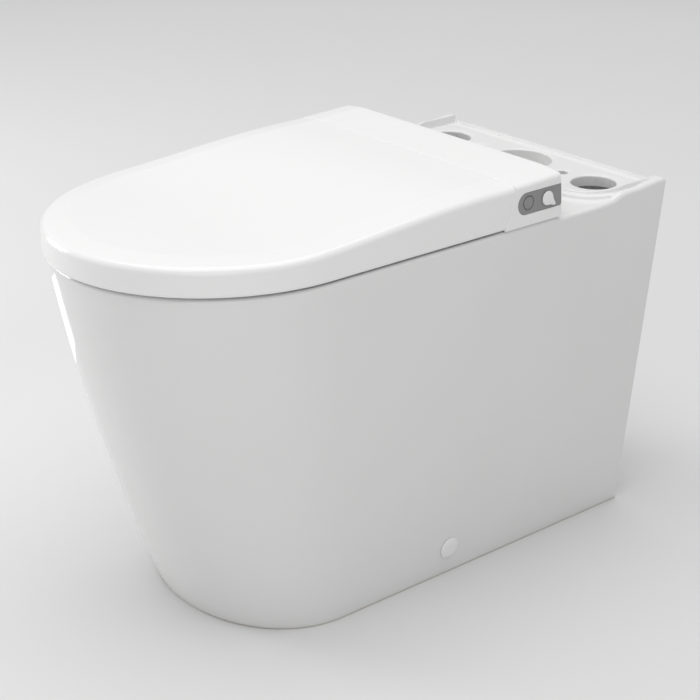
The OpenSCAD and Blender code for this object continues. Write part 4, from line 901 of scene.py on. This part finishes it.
def dressButton():
    b, e = button, button["edge"]
    profile = [(173, 2.45), (175, 2.5), (175.02, b["collar"]), (177.3, b["collar"]), (177.5, b["radius"])]
    profile += [(b["face"] - e * down, b["radius"] - e * inward) for inward, down in quarter(7)]
    profile += [(b["face"] - b["dish"] * (1 - (r / 5.8) ** 2), r) for r in (5.2, 4.2, 3.0, 1.6, 0.4)]
    piece = turned("pushButton", 0, profile, (panel["buttonAt"], panel["centre"]))
    return finished(piece, "button", "grey_panel", "push_button")


def knobLine():
    # drop shape: a large round, slightly hollow flanks and a small round tip towards the wall and down
    r, far, aim = knob["radius"], knob["tip"], math.pi - knob["turned"]
    swing = math.acos((r - knob["tipRadius"]) / far)
    end = arc(0, 0, r, aim + swing, aim - swing + 2 * math.pi, 44)
    tip = arc(far * math.cos(aim), far * math.sin(aim), knob["tipRadius"], aim - swing, aim + swing, 12)
    t = np.linspace(0, 1, 12)[1:-1, None]

    def flank(start, stop, angle):
        inward = np.array([math.cos(angle), math.sin(angle)]) * knob["hollow"] * (t * (1 - t)) ** 2
        return start * (1 - t) + stop * t - inward

    return np.vstack([end, flank(end[-1], tip[0], aim - swing), tip, flank(tip[-1], end[0], aim + swing)])


def dressKnob():
    k, line = knob, knobLine()
    foot, top = k["foot"], k["face"] - k["crown"]
    edge = np.roll(line, -1, axis=0) - np.roll(line, 1, axis=0)
    outward = np.column_stack([edge[:, 1], -edge[:, 0]]) / np.hypot(*edge.T)[:, None]
    rings = [(foot, 0.3, 1), (foot + 0.3, 0, 1)]
    rings += [(top - k["edge"] * b, k["edge"] * a, 1) for a, b in quarter(6)]
    rings += [(k["face"] - k["crown"] * s * s, k["edge"], s) for s in (0.8, 0.6, 0.4, 0.2, 0.05)]
    at = np.array([panel["knobAt"], panel["centre"]])
    piece = loft("flowKnob", [lead(x, at + (line - outward * inset) * share) for x, inset, share in rings])
    shaft = [(175.7, k["shaft"] - 0.3), (176, k["shaft"]), (foot + 0.3, k["shaft"])]
    add(piece, turned("shaft", 0, shaft, at, steps=40))
    return finished(piece, "knob", "white_gloss_plastic", "flow_knob")


cap = dict(radius=13.5, plug=9.3)


def dressCaps():
    r, plug = cap["radius"], cap["plug"]
    profile = [(-2.6, plug - 0.5), (-2.2, plug), (0.2, plug), (0.22, r - 0.5), (0.6, r), (1.2, r)]
    profile += [(2.6 - 1.4 * (v / r) ** 5, v) for v in (13.2, 12.6, 11.6, 10, 8, 5.5, 3, 0.5)]
    piece = merged("boltCaps", [atBolt("half", side, profile, 72) for side in (-1, 1)])
    return finished(piece, "pan", "white_gloss_plastic", "bolt_caps")


for dress in (dressPanel, dressButton, dressKnob, dressCaps):
    dress()
print("side controls and caps made")


# repeated parts: one tree places copies of a small mesh in a row or round an upright axis
def repeatTree():
    tree = bpy.data.node_groups.new("repeatPart", "GeometryNodeTree")
    for name, kind in (("Geometry", "Geometry"), ("Copies", "Int"), ("Step", "Vector"), ("Turn", "Float"),
                       ("Centre", "Vector")):
        tree.interface.new_socket(name, in_out="INPUT", socket_type="NodeSocket" + kind)
    tree.interface.new_socket("Geometry", in_out="OUTPUT", socket_type="NodeSocketGeometry")
    g = graph(tree)
    given = tree.nodes.new("NodeGroupInput")
    part, copies, step, turn, centre = (wire(g, given.outputs[k]) for k in range(5))
    index = g.node("GeometryNodeInputIndex", {}, {})
    at = g.vector("ADD", g.vector("SCALE", step, {"Scale": index}), {1: centre})
    points = g.node("GeometryNodePoints", {}, {"Count": copies, "Position": at})
    back = g.vector("SCALE", centre, {"Scale": -1.0})
    centred = g.node("GeometryNodeTransform", {}, {"Geometry": part, "Translation": back})
    upright = g.node("ShaderNodeCombineXYZ", {}, {"Z": index * turn})
    placed = g.node("GeometryNodeInstanceOnPoints", {},
                    {"Points": points, "Instance": centred, "Rotation": upright})
    g.node("NodeGroupOutput", {}, {0: g.node("GeometryNodeRealizeInstances", {}, {0: placed})})
    return tree


def repeated(part, **values):
    change = part.modifiers.new("repeat", "NODES")
    change.node_group = repeatPart
    for item in repeatPart.interface.items_tree:
        if item.in_out == "INPUT" and item.name in values:
            change[item.identifier] = values[item.name]
    mesh = bpy.data.meshes.new_from_object(part.evaluated_get(bpy.context.evaluated_depsgraph_get()))
    part.modifiers.clear()
    part.data = mesh
    return part


repeatPart = repeatTree()

# dryer fan: a disc with a shaft, a ring over the blades, and curved blades set round it
fan = dict(across=-76, depth=224.5, floor=364.5, blades=16, bladeIn=13.6, bladeOut=19.6, sweep=0.34,
           thick=0.9,
           disc=[(0.4, 1.6), (0.8, 2), (5.6, 2), (5.8, 6), (6, 19.6), (6.4, 20), (7.1, 20), (7.5, 19.6),
                 (7.6, 7), (9, 5), (11.6, 4), (12, 2), (15, 2), (15.4, 1.6)],
           band=[(17.8, 16.3), (19.7, 16.3), (20, 16.6), (20, 17), (19.7, 17.3), (18.1, 17.3), (17.8, 17)])


def dressFan():
    base, at = fan["floor"], np.array([fan["across"], fan["depth"]])
    disc = turned("disc", 2, [(base + h, r) for h, r in fan["disc"]], at, steps=64)
    hoop = loft("hoop", [np.array([(at[0] + r * c, at[1] + r * s, base + h) for r, h in fan["band"]])
                         for c, s in zip(*circle(64))], hoop=True)
    r = np.linspace(fan["bladeIn"], fan["bladeOut"], 7)
    turn = fan["sweep"] * ((r - r[0]) / (r[-1] - r[0])) ** 1.4
    along = np.column_stack([r * np.cos(turn), r * np.sin(turn)])
    aside = np.column_stack([-np.sin(turn + 0.5), np.cos(turn + 0.5)]) * fan["thick"] / 2
    line = np.vstack([along - aside, (along + aside)[::-1]]) + at
    blades = repeated(loft("blade", [trail(line, base + z) for z in (7.4, 16.6)]), Copies=fan["blades"],
                      Turn=2 * math.pi / fan["blades"], Centre=place([(*at, 0)])[0])
    return finished(merged("fanRotor", [disc, hoop, blades]), "rotor", "dark_plastic", "fan_rotor")


def softBox(name, across, depths, heights, corner, edge):
    # rounded in plan, with a small round along its upper and lower edges
    (x0, x1), (d0, d1), (z0, z1) = across, depths, heights
    levels = [(z0 + edge * a, edge * b) for a, b in quarter(5)]
    levels += [(z1 - edge * b, edge * a) for a, b in quarter(5)]
    x0, x1, d0, d1 = x0 + corner, x1 - corner, d0 + corner, d1 - corner
    rings = []
    for z, inset in levels:
        c = max(corner - inset, 0.05)
        corners = [arc(x, d, c, k * rightAngle, (k + 1) * rightAngle, 7)
                   for k, (x, d) in enumerate(((x1, d1), (x0, d1), (x0, d0), (x1, d0)))]
        rings.append(trail(np.vstack(corners), z))
    return loft(name, rings)


# deodoriser cartridge: a soft-edged case with a row of slats on its lid
cartridge = dict(across=-172.7, depth=226, floor=429.6, length=50, width=23.5, height=20, slats=6, step=7)


def dressCartridge():
    c = cartridge
    x, d0, d1, z = c["across"], c["depth"], c["depth"] + c["width"], c["floor"]
    top = z + c["height"]
    case = softBox("case", (x, x + c["length"]), (d0, d1), (z, top), 2.5, 1.2)
    slat = softBox("slat", (x + 5, x + 8), (d0 + 3, d1 - 3), (top - 0.4, top + 1), 0.8, 0.5)
    slats = repeated(slat, Copies=c["slats"], Step=(c["step"] / 1000, 0, 0))
    return finished(merged("odourCartridge", [case, slats]), "pan", "white_matt_plastic", "odour_cartridge")


# toothed rack on the washing arm, which lies along a slope
rack = dict(slope=math.radians(28), depth=300, height=390, start=12, pitch=2 * math.pi * 6 / 12, teeth=35,
            foot=6, root=8.2, tip=10, half=2.5)


def alongArm(points):
    # distance up the arm and height over its axis, as depth and height
    c, s = math.cos(rack["slope"]), math.sin(rack["slope"])
    return [(rack["depth"] - u * c + h * s, rack["height"] + u * s + h * c) for u, h in points]


def dressRack():
    start, foot, root, tip, p, half = (rack[key] for key in ("start", "foot", "root", "tip", "pitch", "half"))
    end, first = start + p * rack["teeth"], start + p / 2
    bar = slab("bar", alongArm([(start, foot), (end, foot), (end, root), (start, root)]), -half, half)
    flank = [(-0.27, root - 0.15), (-0.25, root), (-0.17, root + 0.9), (-0.1, tip - 0.15), (-0.06, tip)]
    flank += [(-u, h) for u, h in flank[::-1]]
    tooth = slab("tooth", alongArm([(first + u * p, h) for u, h in flank]), -half, half)
    step = (0, p * math.cos(rack["slope"]) / 1000, p * math.sin(rack["slope"]) / 1000)
    teeth = repeated(tooth, Copies=rack["teeth"], Step=step)
    return finished(merged("armRack", [bar, teeth]), "arm", "steel", "arm_rack")


for dress in (dressFan, dressCartridge, dressRack):
    dress()
print("repeated parts made")

# every CAD node takes the finish of its slot
for row in frame["record"]["subparts"]:
    for holder in frame["nodes"][row["node"]].material_slots:
        holder.material = finishes[row["material_slot"]]

# camera, taken from the photograph's perspective
lens = dict(place=(1.4404, -1.2115, 1.0564), pitch=66.23, yaw=50.593, focal=90.86, sensor=36,
            shift=(0.0511, 0.0291))
camera = newObject("camera", bpy.data.cameras.new("camera"))
camera.location = lens["place"]
camera.rotation_euler = (math.radians(lens["pitch"]), 0, math.radians(lens["yaw"]))
camera.data.lens = lens["focal"]
camera.data.sensor_width = lens["sensor"]
camera.data.shift_x, camera.data.shift_y = lens["shift"]
scene.camera = camera

# floor: a pale sheet, a little paler further away
ground = dict(half=30, near=((0.71, 0.71, 0.71), (0.73, 0.73, 0.73)), far=(0.93, 0.93, 0.93), ramp=(0.8, 3.0))
floorMesh = bpy.data.meshes.new("floor")
corners = [(x * ground["half"], y * ground["half"], 0) for x, y in ((-1, -1), (1, -1), (1, 1), (-1, 1))]
floorMesh.from_pydata(corners, [], [[0, 1, 2, 3]])
floor = newObject("floor", floorMesh)
paleFloor = finish("paleFloor", Roughness=0.9)
paleFloor.shader.inputs["Specular IOR Level"].default_value = 0.0
away = paleFloor.node("ShaderNodeVectorMath", dict(operation="LENGTH"), {0: paleFloor.where}, "Value")
nearTone = paleFloor.mix(paleFloor.noise(2, 2), *ground["near"])
paleFloor.feed("Base Color", paleFloor.mix(paleFloor.between(away, *ground["ramp"]), nearTone, ground["far"]))
floorMesh.materials.append(paleFloor.material)

# light: an even room, a wide lamp overhead, softer ones from the front, and a card that only the glaze shows;
# each lamp has its name, place, target, size, power and whether it lights matt surfaces
light = dict(room=0.50, backdrop=0.54,
             lamps=[("overhead", (0.1, -0.15, 3.0), (0, -0.1, 0.2), (3.2, 3.2), 59, True),
                    ("frontRight", (1.1, -0.95, 0.65), (0.15, -0.1, 0.3), (0.8, 0.8), 1.9, True),
                    ("frontLeft", (-2.3, -1.3, 0.85), (0, -0.2, 0.25), (1.0, 1.2), 24, True),
                    ("glintCard", (-0.6, -0.1, 0.1), (0, -0.1, 0.1), (0.4, 0.14), 0.2, False)])
for name, at, target, size, power, fills in light["lamps"]:
    lamp = newObject(name, bpy.data.lights.new(name, "AREA"))
    lamp.data.shape = "RECTANGLE"
    lamp.data.size, lamp.data.size_y = size
    lamp.data.energy = power
    lamp.location = at
    lamp.rotation_euler = (Vector(target) - Vector(at)).to_track_quat("-Z", "Y").to_euler()
    lamp.visible_camera = False
    lamp.visible_diffuse = fills
scene.world = bpy.data.worlds.new("room")
scene.world.use_nodes = True
sky = graph(scene.world.node_tree)
sky.tree.nodes.remove(sky.tree.nodes["Background"])
lit, seen = (sky.node("ShaderNodeBackground", {}, {"Color": (1, 1, 1, 1), "Strength": light[key]})
             for key in ("room", "backdrop"))
cameraRay = sky.node("ShaderNodeLightPath", {}, {}, "Is Camera Ray")
choose = sky.node("ShaderNodeMixShader", {}, {0: cameraRay, 1: lit, 2: seen})
sky.tree.links.new(choose.socket, sky.tree.nodes["World Output"].inputs["Surface"])
scene.view_settings.view_transform = "Standard"
